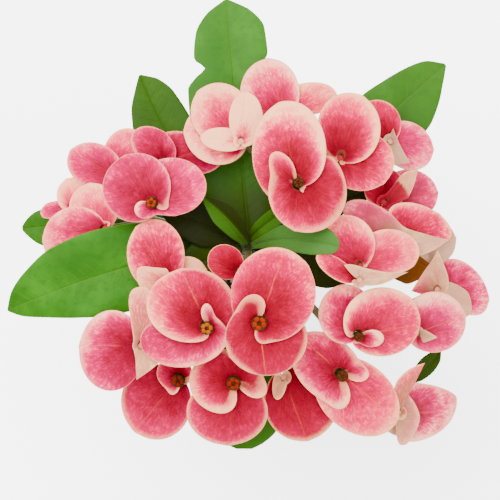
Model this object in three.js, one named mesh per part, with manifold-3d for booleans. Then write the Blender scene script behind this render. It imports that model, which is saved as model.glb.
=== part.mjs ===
// Crown of thorns (Euphorbia milii, big-flowered form) growing in a plain clay pot.
// Millimetres, +Z up, front toward -Y, origin at the centre of the pot's underside.
//
// The flowering crown is laid out in its own frame: x to the right, y away from the viewer and
// z along the crown's axis, which leans a little toward the front. Every bract and leaf is a thin
// curved blade whose height above the crown's plane is a simple function of its place.
import * as THREE from 'three';
import { mergeVertices } from 'three/addons/utils/BufferGeometryUtils.js';
import Module from 'manifold-3d';

const wasm = await Module();
wasm.setup();

// ---------------------------------------------------------------- driving dimensions
const POT_HEIGHT = 90;
const POT_RIM_RADIUS = 50;
const POT_FOOT_RADIUS = 35;
const POT_WALL = 4;
const POT_FLOOR = 6;
const POT_BAND_HEIGHT = 18;
const POT_BAND_OVERHANG = 3.5;
const DRAIN_RADIUS = 4;
const DRAIN_FROM_CENTRE = 17;
const DRAIN_COUNT = 3;
const POT_SIDES = 28;

const SOIL_BELOW_RIM = 11;
const SOIL_MOUND = 4;
const FIT_GAP = 0.3;

const STEM_RADIUS = 9.5;
const STEM_TOP_RADIUS = 7;
const SHOOT_TIP_RADIUS = 2.2;
const STEM_IN_SOIL = 34;
const STEM_SIDES = 10;
const STEM_RINGS = 15;
const SPINE_LENGTH = 15;
const SPINE_RADIUS = 1.3;
const SPINE_ROOT = 3.5;
const SPINE_PAIRS = 11;
const SPINE_TURN = 137.5;
const SPINE_SPREAD = 18;
const SPINES_FROM = 0.27;
const SPINES_TO = 0.76;

const CROWN_LEAN = THREE.MathUtils.degToRad(12);
const CROWN_CENTRE = new THREE.Vector3(12, -43, 234);
const CROWN_CURVE = 200;
const HEART = new THREE.Vector3(-1, 3, -10);

const BRACT_THICKNESS = 0.75;
const PEG_RADIUS = 0.8;
const PEG_FROM_NECK = 3.6;
const OPEN_NECK_RADIUS = 1.9;
const NECK_RADIUS = 1.5;
const FUNNEL_DEPTH = 4;
const FUNNEL_REACH = 4;
const OVERLAP_AT_NECK = 0.8;
const OVERLAP_SLOPE = 0.15;
const RIM_ROLL = 0.1;
const LEAST_REACH = 2.4;
const ANGLE_SHARE = 0.35;
const LOBE_START = 118;
const LOBE_END = 168;

const STALK_RADIUS = 1.8;
const PEDICEL_RADIUS = 1.05;
const CUP_RADIUS = 2.6;

const LEAF_THICKNESS = 0.8;

// How the two bracts of a bloom lie over each other: each one's clockwise side on top, each
// one's counter-clockwise side on top, or the first bract wholly on top of the second.
const CLOCKWISE = -1;
const COUNTER = 1;
const FIRST_ON_TOP = 0;

// ---------------------------------------------------------------- colours
const PAINT = {
  clay: { color: 0xb5663f, roughness: 0.85 },
  soil: { color: 0x3a2c22, roughness: 0.95 },
  bark: { color: 0x7b6f5e, roughness: 0.9 },
  leaf: { color: 0x4f8f2c, roughness: 0.5 },
  dark_leaf: { color: 0x35561a, roughness: 0.55 },
  stalk: { color: 0x86862a, roughness: 0.6 },
  bract: { color: 0xf2506e, roughness: 0.6 },
  pale_bract: { color: 0xe3b5a4, roughness: 0.65 },
};

// ---------------------------------------------------------------- blooms
// neck: where the bracts meet, in the crown's plane; level: height above the crown's dome.
// Each bract is an oval: `at` its centre, `half` its half sizes (the first one along `turn`,
// which is the direction from the neck unless given), `sinus` the direction of the open notch.
// `lobes` lengthens the basal lobe on the counter-clockwise and the clockwise side, `pitch` is
// the rise per millimetre along the bract.
const BLOOMS = {
  bloom_left_1: {
    neck: [-48, 23], level: 17, over: CLOCKWISE, cup: true,
    bracts: [
      { at: [-56.5, 31], half: [17, 17.5], sinus: 300, lobes: [0, 2] },
      { at: [-39, 31.5], half: [17.5, 14.5], turn: 0, sinus: 150, lobes: [0, 5] },
    ],
  },
  bloom_left_2: {
    neck: [-69, 38], level: -8, over: FIRST_ON_TOP,
    bracts: [
      { at: [-78.5, 42.5], half: [15, 11.5], sinus: 330 },
      { at: [-63, 50], half: [12, 11], sinus: 230 },
    ],
  },
  bloom_left_3: {
    neck: [-43, 44], level: -1, over: FIRST_ON_TOP,
    bracts: [
      { at: [-48.5, 52], half: [12.5, 9], turn: -35, sinus: 270, pitch: 0.25 },
      { at: [-32.5, 49], half: [16.5, 10], turn: -20, sinus: 200 },
    ],
  },
  bloom_left_4: {
    neck: [-73, 11], level: -3, over: FIRST_ON_TOP,
    bracts: [
      { at: [-88, 5.5], half: [17, 16.5], sinus: 10 },
      { at: [-79, 21], half: [13, 12.5], sinus: 290 },
    ],
  },
  bloom_left_5: {
    neck: [-91, 22], level: -14, over: FIRST_ON_TOP,
    bracts: [
      { at: [-90, 28], half: [9, 8.5], sinus: 280 },
      { at: [-98, 20.5], half: [9, 4.5], sinus: 20 },
    ],
  },
  bloom_top_1: {
    neck: [-4.5, 54], level: 9, over: FIRST_ON_TOP,
    bracts: [
      { at: [-14, 67.5], half: [17, 15], sinus: 310 },
      { at: [-17, 57.5], half: [16.5, 14.5], turn: 150, sinus: 350 },
    ],
  },
  bloom_top_young: {
    neck: [-4.5, 54], level: 18, over: FIRST_ON_TOP, young: true,
    bracts: [
      { at: [-2, 65], half: [13.5, 8.5], turn: 90, sinus: 265, pitch: 0.25, pale: true },
      { at: [-13, 55], half: [11.5, 6], turn: 175, sinus: 355, pitch: 0.1, pale: true },
    ],
  },
  bloom_top_2: {
    neck: [17, 67], level: 2, over: FIRST_ON_TOP,
    bracts: [
      { at: [10, 79], half: [17.5, 15], turn: 90, sinus: 285 },
      { at: [29, 76], half: [15, 8.5], turn: 10, sinus: 200 },
    ],
  },
  bloom_centre: {
    neck: [23.5, 32.5], level: 24, over: CLOCKWISE, cup: true,
    bracts: [
      { at: [19.5, 48], half: [26, 18.5], turn: 90, sinus: 282, lobes: [0, 2] },
      { at: [28.5, 28.5], half: [19.5, 20], turn: 0, sinus: 85, lobes: [2, 7] },
    ],
  },
  bloom_right_1: {
    neck: [45, 46], level: 11, over: FIRST_ON_TOP,
    bracts: [
      { at: [49.5, 61], half: [18, 16], turn: 90, sinus: 250 },
      { at: [55.5, 44.5], half: [17, 15], turn: 0, sinus: 150 },
    ],
  },
  bloom_right_2: {
    neck: [71, 55], level: -4, over: FIRST_ON_TOP,
    bracts: [
      { at: [73, 49.5], half: [11, 7.5], turn: 100, sinus: 200, pitch: 0.35, pale: true },
      { at: [65.5, 64.5], half: [12, 11], sinus: 300 },
      { at: [80, 53], half: [14, 12], turn: -35, sinus: 170 },
    ],
  },
  bloom_right_3: {
    neck: [67.5, 24], level: -4, over: FIRST_ON_TOP,
    bracts: [
      { at: [76.5, 32], half: [12, 6], turn: 55, sinus: 230, pitch: 0.3, pale: true },
      { at: [68, 30.5], half: [11, 10.5], sinus: 270 },
      { at: [80.5, 28], half: [15, 13], turn: 0, sinus: 190 },
    ],
  },
  bloom_right_4: {
    neck: [74, 6], level: 3, over: FIRST_ON_TOP,
    bracts: [
      { at: [74, 11], half: [27, 10], turn: -22, sinus: 250, pale: true },
      { at: [85.5, 13.5], half: [17, 9], turn: -22, sinus: 210 },
      { at: [94, 4], half: [11, 10.5], turn: 90, sinus: 180, pale: true },
    ],
  },
  bloom_right_5: {
    neck: [55, -8], level: 12, over: FIRST_ON_TOP,
    bracts: [
      { at: [47.5, 2.5], half: [15, 15], sinus: 330 },
      { at: [69.5, -1], half: [15.5, 11.5], turn: 0, sinus: 180 },
    ],
  },
  bloom_right_6: {
    neck: [54.5, -15], level: 19, over: FIRST_ON_TOP,
    bracts: [
      { at: [60, -11.5], half: [16, 6.5], turn: -5, sinus: 160, pale: true },
      { at: [42.5, -9], half: [11.5, 5], turn: -35, sinus: 60 },
    ],
  },
  bloom_right_7: {
    neck: [95, -20], level: -8, over: FIRST_ON_TOP,
    bracts: [
      { at: [92, -12.5], half: [13, 9], turn: 70, sinus: 280, pitch: 0.5, pale: true },
      { at: [101.5, -25], half: [13.5, 10.5], turn: -20, sinus: 130, pitch: 0.2, pale: true },
      { at: [109, -19], half: [17, 10.5], turn: -50, sinus: 170 },
    ],
  },
  bloom_right_8: {
    neck: [53.5, -42.5], level: 10, over: COUNTER, cup: true,
    bracts: [
      { at: [66, -36], half: [19.5, 17.5], turn: 0, sinus: 215 },
      { at: [48, -32], half: [14, 15], turn: 0, sinus: 37, lobes: [10, 0] },
    ],
  },
  bloom_right_9: {
    neck: [84, -42], level: 1, over: FIRST_ON_TOP,
    bracts: [
      { at: [93, -36.5], half: [16.5, 15.5], turn: 0, sinus: 200 },
      { at: [87, -43], half: [9, 4], turn: 5, sinus: 190, pitch: 0.25, pale: true },
    ],
  },
  bloom_bottom_0: {
    neck: [-40, -17], level: 9, over: FIRST_ON_TOP,
    bracts: [
      { at: [-47, -2.5], half: [18, 14.5], turn: 95, sinus: 300 },
      { at: [-48, -15], half: [10.5, 7], turn: 180, sinus: 350, pale: true },
      { at: [-33, -14], half: [12, 10.5], turn: 30, sinus: 200, pale: true },
    ],
  },
  bloom_bottom_1: {
    neck: [-21, -38], level: 16, over: COUNTER, cup: true,
    bracts: [
      { at: [-29.5, -27.5], half: [22, 18.5], turn: 0, sinus: 295 },
      { at: [-33, -44], half: [22, 14.5], turn: 5, sinus: 135, lobes: [5, 0] },
    ],
  },
  bloom_bottom_2: {
    neck: [4.5, -35.5], level: 19, over: CLOCKWISE, cup: true,
    bracts: [
      { at: [11.5, -22], half: [23.5, 21], turn: 80, sinus: 230, lobes: [0, 2] },
      { at: [8, -44], half: [20.5, 18.5], turn: 0, sinus: 50, lobes: [0, 5] },
    ],
  },
  bloom_bottom_3: {
    neck: [-55, -48], level: 8, over: FIRST_ON_TOP,
    bracts: [
      { at: [-69.5, -50.5], half: [20.5, 16.5], turn: 85, sinus: 0 },
      { at: [-53, -43], half: [21, 8], turn: 95, sinus: 320, pale: true },
    ],
  },
  bloom_bottom_4: {
    neck: [-35.5, -64.5], level: -3, over: FIRST_ON_TOP, cup: true,
    bracts: [
      { at: [-38, -62], half: [9, 8.5], turn: 180, sinus: 290, lobes: [3, 0] },
      { at: [-47.5, -77], half: [19.5, 18], turn: 90, sinus: 50 },
    ],
  },
  bloom_bottom_5: {
    neck: [-8, -65.5], level: 7, over: FIRST_ON_TOP, cup: true,
    bracts: [
      { at: [-12, -66], half: [18.5, 16.5], turn: 0, sinus: 295, lobes: [0, 3] },
      { at: [-11.5, -81.5], half: [20.5, 17], turn: 0, sinus: 85 },
    ],
  },
  bloom_bottom_6: {
    neck: [17, -64], level: -3, over: FIRST_ON_TOP,
    bracts: [
      { at: [15, -67], half: [8.5, 3.6], turn: 80, sinus: 120, pale: true },
      { at: [26, -76.5], half: [19, 20.5], turn: 0, sinus: 110 },
    ],
  },
  bloom_bottom_7: {
    neck: [45.5, -62], level: 4, over: FIRST_ON_TOP, cup: true,
    bracts: [
      { at: [39, -59], half: [21.5, 15], turn: -45, sinus: 315, lobes: [3, 3] },
      { at: [54, -74], half: [24.5, 17.5], turn: -40, sinus: 140 },
    ],
  },
  bloom_bottom_9: {
    neck: [-5, -11], level: 6, over: FIRST_ON_TOP,
    bracts: [
      { at: [-12, -6], half: [9.5, 8.5], sinus: 350 },
      { at: [3, -16], half: [9, 8], sinus: 150 },
    ],
  },
  bloom_bottom_8: {
    neck: [76, -83], level: -6, over: FIRST_ON_TOP,
    bracts: [
      { at: [79.5, -73], half: [15.5, 5], turn: 63, sinus: 240, pitch: 0.5, pale: true },
      { at: [80.5, -87.5], half: [14, 6.5], turn: 90, sinus: 190, pitch: 0.3, pale: true },
      { at: [92.5, -83.5], half: [17, 15.5], turn: 0, sinus: 180 },
      { at: [72.5, -88], half: [9, 5], turn: -45, sinus: 30, pale: true },
    ],
  },
};

// ---------------------------------------------------------------- leaves
// from / bend / to: the midrib in the crown's frame; half: half widths left and right of the
// midrib at the listed places along it; fold: how steeply the halves rise from the midrib.
const LEAVES = {
  leaf_top: {
    from: [-0.5, 6.6, -15], bend: [-6, 60, -14], to: [-12, 127, -28], fold: 0.12,
    half: [[0, 3, 3], [0.06, 11, 9], [0.14, 17, 15], [0.24, 21, 17], [0.45, 24, 18], [0.66, 23.5, 19],
      [0.71, 18.5, 18.5], [0.74, 14, 16], [0.78, 19, 18.5], [0.88, 17, 18], [0.95, 11, 12], [1, 1, 1]],
  },
  leaf_upper_left: {
    from: [-5.4, 7.6, -26.2], bend: [-38, 45, -28], to: [-56, 89, -34], fold: 0.15,
    half: [[0, 1.5, 1.5], [0.2, 7, 7], [0.45, 13, 13], [0.68, 16, 14], [0.84, 11.5, 12.5],
      [0.94, 5, 8], [1, 0.6, 0.6]],
  },
  leaf_left_big: {
    from: [-6.6, 2.1, -26.1], bend: [-59, -3, 8], to: [-122.5, -30.5, -22], fold: 0.08,
    half: [[0, 1.5, 1.5], [0.12, 6, 8], [0.3, 6, 17], [0.4, 9, 20], [0.48, 18, 21.5],
      [0.62, 18, 22.5], [0.76, 13.5, 21], [0.88, 8, 15], [0.96, 3, 8], [1, 0.6, 0.6]],
  },
  leaf_left_small: {
    from: [-11.3, 4, -46], bend: [-60, 18, -46], to: [-117, 11, -54], fold: 0.1,
    half: [[0, 1.5, 1.5], [0.3, 6, 6], [0.65, 9.5, 9.5], [0.82, 10.5, 10.5], [0.93, 8, 8],
      [0.98, 4, 4], [1, 1, 1]],
  },
  leaf_upper_right: {
    from: [2.9, 7.5, -34.4], bend: [50, 50, -36], to: [100, 95, -48], fold: 0.1,
    half: [[0, 1.5, 1.5], [0.2, 9, 9], [0.45, 16, 17], [0.68, 16.7, 19.5], [0.78, 15, 18.5],
      [0.87, 12.5, 13.5], [0.95, 8.4, 6], [1, 0.8, 0.8]],
  },
  leaf_right_small: {
    from: [0.7, 1.9, -9], bend: [20, 9, 14], to: [44, 1.5, 20], fold: 0.15,
    half: [[0, 1.6, 1.6], [0.2, 4, 3.5], [0.45, 8, 6], [0.7, 9, 7], [0.88, 7, 5.5], [0.96, 4.5, 4],
      [1, 1.5, 1.5]],
  },
  leaf_heart_left: {
    from: [-1.6, 2.8, -8.6], bend: [-9, 15, 2], to: [-23.5, 26, 6], fold: 0.4,
    half: [[0, 1.8, 1.8], [0.3, 5, 5], [0.6, 6, 6], [0.85, 3.5, 3.5], [1, 0.5, 0.5]],
  },
  leaf_heart_right: {
    from: [-0.3, 5.4, -9], bend: [8, 14, -1], to: [20, 21, 3], fold: 0.35,
    half: [[0, 1.8, 1.8], [0.3, 4, 4], [0.65, 4.6, 4.6], [0.9, 2.4, 2.4], [1, 0.5, 0.5]],
  },
  leaf_inner_left: {
    from: [-4.1, 4.4, -13.2], bend: [-20, 13, -4], to: [-44, 18, -8], fold: 0.2, dark: true,
    half: [[0, 1.4, 1.4], [0.25, 7, 7], [0.5, 11, 11], [0.8, 8, 8], [1, 0.8, 0.8]],
  },
  leaf_inner_low: {
    from: [-4, 0.5, -15], bend: [-18, -3, -9], to: [-37, -11, -7], fold: 0.15, dark: true,
    half: [[0, 1.4, 1.4], [0.25, 7, 7], [0.55, 11.5, 11], [0.85, 7, 7], [1, 0.8, 0.8]],
  },
  leaf_inner_right: {
    from: [1.8, 1.5, -18.2], bend: [24, -4, -10], to: [50, -16, -16], fold: 0.12, dark: true,
    half: [[0, 1.5, 1.5], [0.25, 7, 7], [0.55, 10, 10], [0.82, 8, 8], [1, 0.8, 0.8]],
  },
  leaf_back_right: {
    from: [1.8, 5.8, -20.5], bend: [28, 26, -12], to: [62, 28, -19], fold: 0.12, dark: true,
    half: [[0, 1.5, 1.5], [0.25, 7, 7], [0.55, 10, 10], [0.82, 7, 7], [1, 0.8, 0.8]],
  },
  leaf_right_low: {
    from: [4.6, 3, -42], bend: [52, 14, -44], to: [87, -13, -50], fold: 0.1, dark: true,
    half: [[0, 1.5, 1.5], [0.3, 6, 6], [0.65, 10, 10], [0.88, 8, 8], [1, 0.8, 0.8]],
  },
  leaf_bottom: {
    from: [-1, -1.6, -34.3], bend: [-3, -50, -30], to: [-3, -102, -50], fold: 0.08,
    half: [[0, 1.5, 1.5], [0.2, 8, 8], [0.5, 17, 17], [0.78, 20, 20], [0.9, 17, 17], [0.97, 10, 10],
      [1, 4, 4]],
  },
  leaf_lower_right: {
    from: [5.7, -4.6, -48], bend: [50, -115, -50], to: [98, -51.5, -58], fold: 0.1, dark: true,
    half: [[0, 1.2, 1.2], [0.4, 2.5, 2.5], [0.72, 3, 3], [0.84, 5, 5], [0.93, 5, 4.5], [1, 0.6, 0.6]],
  },
};

// ---------------------------------------------------------------- flower stalks
// root: where the stalk leaves the stem; fork: the joint where it divides; to: the blooms it
// carries, each with the points its branch passes through on the way, if any.
const STALKS = {
  stalk_left: {
    root: [-4.5, 7.5, -21.9], fork: [-28, 23, -13],
    to: { bloom_left_1: [], bloom_left_3: [] },
  },
  stalk_left_low: {
    root: [-9.4, 5.6, -38.2], fork: [-52, 16, -32],
    to: { bloom_left_2: [], bloom_left_4: [], bloom_left_5: [[-78, 18, -36]] },
  },
  stalk_top: {
    root: [2.9, 4.1, -15.2], fork: [17, 27, -8],
    to: { bloom_centre: [], bloom_top_young: [[8, 42, -9], [-4.5, 54, -4]], bloom_top_2: [[15, 48, -8]] },
  },
  stalk_right_back: {
    root: [2.3, 6.5, -27.8], fork: [44, 32, -26],
    to: { bloom_right_1: [], bloom_right_2: [], bloom_right_3: [] },
  },
  stalk_right: {
    root: [3.3, 2.5, -29.1], fork: [38, 5, -18],
    to: { bloom_right_5: [], bloom_right_4: [], bloom_right_6: [[50, -12, -4]] },
  },
  stalk_right_low: {
    root: [4, 1.7, -37.1], fork: [37, -35, -14],
    to: { bloom_right_8: [], bloom_right_9: [[62, -42, -22]], bloom_right_7: [[60, -35, -31]] },
  },
  stalk_bottom_right: {
    root: [0.1, -0.6, -27.3], fork: [26, -40, -26],
    to: { bloom_bottom_7: [], bloom_bottom_6: [], bloom_bottom_8: [[52, -68, -34]] },
  },
  stalk_bottom: {
    root: [-0.9, -1, -19.1], fork: [-2, -22, -12],
    to: { bloom_bottom_2: [], bloom_bottom_5: [], bloom_bottom_9: [] },
  },
  stalk_bottom_left: {
    root: [-6.2, 0.1, -30.2], fork: [-26, -28, -22],
    to: {
      bloom_bottom_1: [], bloom_bottom_4: [], bloom_bottom_3: [[-42, -40, -22]],
      bloom_bottom_0: [[-37, -23, -12]],
    },
  },
};

// ---------------------------------------------------------------- helpers
const rad = THREE.MathUtils.degToRad;
const { lerp, clamp } = THREE.MathUtils;

const crown = new THREE.Group();
crown.name = 'crown';
crown.position.copy(CROWN_CENTRE);
crown.rotation.x = CROWN_LEAN;
crown.updateMatrixWorld(true);

function crownDome(x, y) {
  return -(x * x + y * y) / (2 * CROWN_CURVE);
}

function wrapDegrees(angle) {
  return ((angle + 540) % 360) - 180;
}

// A closed solid from a geometry whose shared corners are merged and flat triangles dropped.
function solidFrom(geometry) {
  const bare = geometry.clone();
  for (const name of ['normal', 'uv']) {
    if (bare.getAttribute(name)) bare.deleteAttribute(name);
  }
  const merged = mergeVertices(bare, 1e-3);
  const index = merged.getIndex().array;
  const triangles = [];
  for (let i = 0; i < index.length; i += 3) {
    const [a, b, c] = [index[i], index[i + 1], index[i + 2]];
    if (a !== b && b !== c && c !== a) triangles.push(a, b, c);
  }
  const vertProperties = new Float32Array(merged.getAttribute('position').array);
  const triVerts = new Uint32Array(triangles);
  return new wasm.Manifold(new wasm.Mesh({ numProp: 3, vertProperties, triVerts }));
}

function joined(solids) {
  return solids.reduce((whole, solid) => whole.add(solid));
}

function meshFromSolid(name, solid, paint) {
  const { vertProperties, triVerts } = solid.getMesh();
  const geometry = new THREE.BufferGeometry();
  geometry.setAttribute('position', new THREE.BufferAttribute(vertProperties, 3));
  geometry.setIndex(new THREE.BufferAttribute(triVerts, 1));
  geometry.computeVertexNormals();
  const material = new THREE.MeshStandardMaterial({ ...PAINT[paint], metalness: 0, flatShading: true });
  const mesh = new THREE.Mesh(geometry, material);
  mesh.name = name;
  return mesh;
}

// A blade from a grid of upper points: its lower face is the same grid moved down by `thickness`,
// with both faces split into triangles the same way and a wall all round.
function bladeGeometry(upper, thickness) {
  const rows = upper.length;
  const columns = upper[0].length;
  const lower = upper.map((row) => row.map((p) => new THREE.Vector3(p.x, p.y, p.z - thickness)));
  const geometry = new THREE.BufferGeometry().setFromPoints([...upper.flat(), ...lower.flat()]);
  const under = rows * columns;
  const at = (row, column) => row * columns + column;
  const faces = [];
  for (let i = 0; i < rows - 1; i++) {
    for (let j = 0; j < columns - 1; j++) {
      const [a, b, c, d] = [at(i, j), at(i + 1, j), at(i + 1, j + 1), at(i, j + 1)];
      faces.push(a, b, c, a, c, d);
      faces.push(under + a, under + c, under + b, under + a, under + d, under + c);
    }
  }
  const wall = (a, b) => faces.push(a, under + a, under + b, a, under + b, b);
  for (let i = 0; i < rows - 1; i++) {
    wall(at(i, 0), at(i + 1, 0));
    wall(at(i + 1, columns - 1), at(i, columns - 1));
  }
  for (let j = 0; j < columns - 1; j++) {
    wall(at(rows - 1, j), at(rows - 1, j + 1));
    wall(at(0, j + 1), at(0, j));
  }
  geometry.setIndex(faces);
  return geometry;
}

function polygon(radius, sides) {
  return new THREE.Shape(Array.from({ length: sides }, (_, k) => {
    const turn = (2 * Math.PI * k) / sides;
    return new THREE.Vector2(radius * Math.cos(turn), radius * Math.sin(turn));
  }));
}

function tubeGeometry(path, radius, sides, steps) {
  return new THREE.ExtrudeGeometry(polygon(radius, sides), { steps, extrudePath: path });
}

// A turned shape standing on z = 0 from a profile of [radius, height] pairs.
function turnedGeometry(profile, sides) {
  const points = profile.map(([radius, height]) => new THREE.Vector2(radius, height));
  return new THREE.LatheGeometry(points, sides).rotateX(Math.PI / 2);
}

// ---------------------------------------------------------------- bracts
function ovalTurn(bloom, bract) {
  if (bract.turn !== undefined) return rad(bract.turn);
  return Math.atan2(bract.at[1] - bloom.neck[1], bract.at[0] - bloom.neck[0]);
}

// Distance from the neck to the edge of the bract's oval in the direction `angle` (degrees).
function ovalReach(bloom, bract, angle) {
  const dx = bract.at[0] - bloom.neck[0];
  const dy = bract.at[1] - bloom.neck[1];
  const turn = ovalTurn(bloom, bract);
  const [a, b] = bract.half;
  const along = dx * Math.cos(turn) + dy * Math.sin(turn);
  const across = dy * Math.cos(turn) - dx * Math.sin(turn);
  const p = Math.cos(rad(angle) - turn);
  const q = Math.sin(rad(angle) - turn);
  const square = (p * p) / (a * a) + (q * q) / (b * b);
  const linear = (p * along) / (a * a) + (q * across) / (b * b);
  const constant = (along * along) / (a * a) + (across * across) / (b * b) - 1;
  const inside = linear * linear - square * constant;
  if (inside <= 0 || (constant > 0 && linear < 0)) return 0;
  return (linear + Math.sqrt(inside)) / square;
}

function neckRadius(bloom) {
  return bloom.cup ? OPEN_NECK_RADIUS : NECK_RADIUS;
}

// The same distance with the basal lobes drawn out and rounded off at the notch. `swing` is the
// direction off the bract's middle line.
function bractReach(bloom, bract, swing) {
  const [counterLobe, clockwiseLobe] = bract.lobes ?? [0, 0];
  const lobe = swing > 0 ? counterLobe : clockwiseLobe;
  const bump = lobe * Math.exp(-(((Math.abs(swing) - 138) / 24) ** 2));
  const reach = ovalReach(bloom, bract, bract.sinus + 180 + swing) + bump;
  const past = clamp((Math.abs(swing) - LOBE_START) / (LOBE_END - LOBE_START), 0, 1);
  const rounding = Math.sqrt(1 - 0.93 * past ** 3);
  const neck = neckRadius(bloom);
  return neck + Math.max(reach - neck, LEAST_REACH) * rounding;
}

// Directions, off the bract's middle line, of the columns of its grid: partly even in angle and
// partly even along the edge of the oval, so that a long oval is as well covered as a round one.
function columnSwings(bloom, bract, columns) {
  const turn = ovalTurn(bloom, bract);
  const middle = bract.sinus + 180;
  const trial = Array.from({ length: 85 }, (_, i) => LOBE_END * (i / 42 - 1));
  const corners = trial.map((swing) => {
    const reach = Math.max(ovalReach(bloom, bract, middle + swing), NECK_RADIUS + LEAST_REACH);
    const angle = rad(middle + swing) - turn;
    const [a, b] = bract.half;
    return new THREE.Vector2((reach * Math.cos(angle)) / a, (reach * Math.sin(angle)) / b);
  });
  const lengths = [0];
  for (let i = 1; i < trial.length; i++) {
    lengths.push(lengths[i - 1] + corners[i].distanceTo(corners[i - 1]) + 0.02);
  }
  return Array.from({ length: columns + 1 }, (_, j) => {
    const share = j / columns;
    const place = lengths.findIndex((length) => length >= share * lengths.at(-1) - 1e-9);
    return lerp(trial[place], LOBE_END * (2 * share - 1), ANGLE_SHARE);
  });
}

// Height above the bloom's own plane at distance r from the neck, `share` of the way to the edge.
function bractHeight(bloom, bract, order, r, swing, share) {
  const size = Math.min(...bract.half);
  const depth = bloom.young ? FUNNEL_DEPTH * 0.7 : FUNNEL_DEPTH;
  const funnel = depth * (1 - Math.exp(-r / FUNNEL_REACH));
  const roll = -RIM_ROLL * size * share ** 4;
  const pitch = (bract.pitch ?? 0) * r * Math.max(Math.cos(rad(swing)), 0);
  const apart = OVERLAP_AT_NECK + OVERLAP_SLOPE * r;
  const stack = bloom.over === FIRST_ON_TOP
    ? -apart * order
    : apart * bloom.over * Math.sin(rad(swing) / 2);
  return funnel + roll + pitch + stack;
}

function bloomSlope(bloom) {
  const tilt = bloom.tilt ?? [0, 0];
  return [tilt[0] - bloom.neck[0] / CROWN_CURVE, tilt[1] - bloom.neck[1] / CROWN_CURVE];
}

function neckPlace(bloom) {
  const [x, y] = bloom.neck;
  return new THREE.Vector3(x, y, crownDome(x, y) + bloom.level);
}

function bractSolid(bloom, bract, order) {
  const slope = bloomSlope(bloom);
  const columns = bloom.cup ? 12 : Math.min(...bract.half) > 9 ? 10 : 9;
  const shares = [0, 0.45, 1];
  const swings = columnSwings(bloom, bract, columns);
  const grid = shares.map((share) => swings.map((swing) => {
    const angle = rad(bract.sinus + 180 + swing);
    const r = lerp(neckRadius(bloom), bractReach(bloom, bract, swing), share);
    const x = r * Math.cos(angle);
    const y = r * Math.sin(angle);
    const z = slope[0] * x + slope[1] * y + bractHeight(bloom, bract, order, r, swing, share);
    return new THREE.Vector3(x, y, z);
  }));
  const steepness = Math.hypot(...slope, bract.pitch ?? 0);
  return solidFrom(bladeGeometry(grid, BRACT_THICKNESS * Math.hypot(1, steepness)));
}

// The bracts of a bloom are held together beside the neck by one short peg, on the side where
// every bract is whole.
function pegSolid(bloom) {
  const swingAt = (bract, angle) => wrapDegrees(angle - bract.sinus - 180);
  const openness = (angle) => Math.max(...bloom.bracts.map((b) => Math.abs(swingAt(b, angle))));
  const angles = Array.from({ length: 36 }, (_, i) => i * 10);
  const angle = angles.reduce((best, trial) => (openness(trial) < openness(best) ? trial : best));
  const x = PEG_FROM_NECK * Math.cos(rad(angle));
  const y = PEG_FROM_NECK * Math.sin(rad(angle));
  const slope = bloomSlope(bloom);
  const heights = bloom.bracts.map((bract, order) => slope[0] * x + slope[1] * y
    + bractHeight(bloom, bract, order, PEG_FROM_NECK, swingAt(bract, angle), 0));
  const foot = Math.min(...heights) - 1.7;
  const head = Math.max(...heights) + 0.3;
  const peg = new THREE.CylinderGeometry(PEG_RADIUS, PEG_RADIUS, head - foot, 3);
  peg.rotateX(Math.PI / 2).translate(x, y, (head + foot) / 2);
  return solidFrom(peg);
}

function bloomMesh(name, bloom) {
  const bracts = bloom.bracts.map((bract, order) => bractSolid(bloom, bract, order));
  const paint = bloom.bracts.every((bract) => bract.pale) ? 'pale_bract' : 'bract';
  const mesh = meshFromSolid(name, joined([...bracts, pegSolid(bloom)]), paint);
  mesh.position.copy(neckPlace(bloom));
  return mesh;
}

// ---------------------------------------------------------------- leaves
function leafMesh(name, leaf) {
  const [from, bend, to] = [leaf.from, leaf.bend, leaf.to].map((p) => new THREE.Vector3(...p));
  const midrib = new THREE.QuadraticBezierCurve3(from, bend, to);
  const grid = leaf.half.map(([place, leftHalf, rightHalf]) => {
    const centre = midrib.getPoint(place);
    const along = midrib.getTangent(place);
    const left = new THREE.Vector3(-along.y, along.x, 0).normalize();
    const across = (side, half) => {
      const point = centre.clone().addScaledVector(left, side * half);
      point.z += leaf.fold * half;
      return point;
    };
    return [across(-1, rightHalf), centre, across(1, leftHalf)];
  });
  const steepness = leaf.fold + 0.25;
  const blade = bladeGeometry(grid, LEAF_THICKNESS * Math.hypot(1, steepness));
  return meshFromSolid(name, solidFrom(blade), leaf.dark ? 'dark_leaf' : 'leaf');
}

// ---------------------------------------------------------------- stalks with flower cups
function cupSolid(bloom) {
  const cup = turnedGeometry([
    [0, 1.5],
    [PEDICEL_RADIUS, 2.6],
    [CUP_RADIUS, 4.3],
    [CUP_RADIUS, 5.4],
    [0, 5],
  ], 7);
  const [slopeX, slopeY] = bloomSlope(bloom);
  const place = cup.getAttribute('position');
  for (let i = 0; i < place.count; i++) {
    place.setZ(i, place.getZ(i) + slopeX * place.getX(i) + slopeY * place.getY(i));
  }
  return solidFrom(cup.translate(...neckPlace(bloom).toArray()));
}

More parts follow.
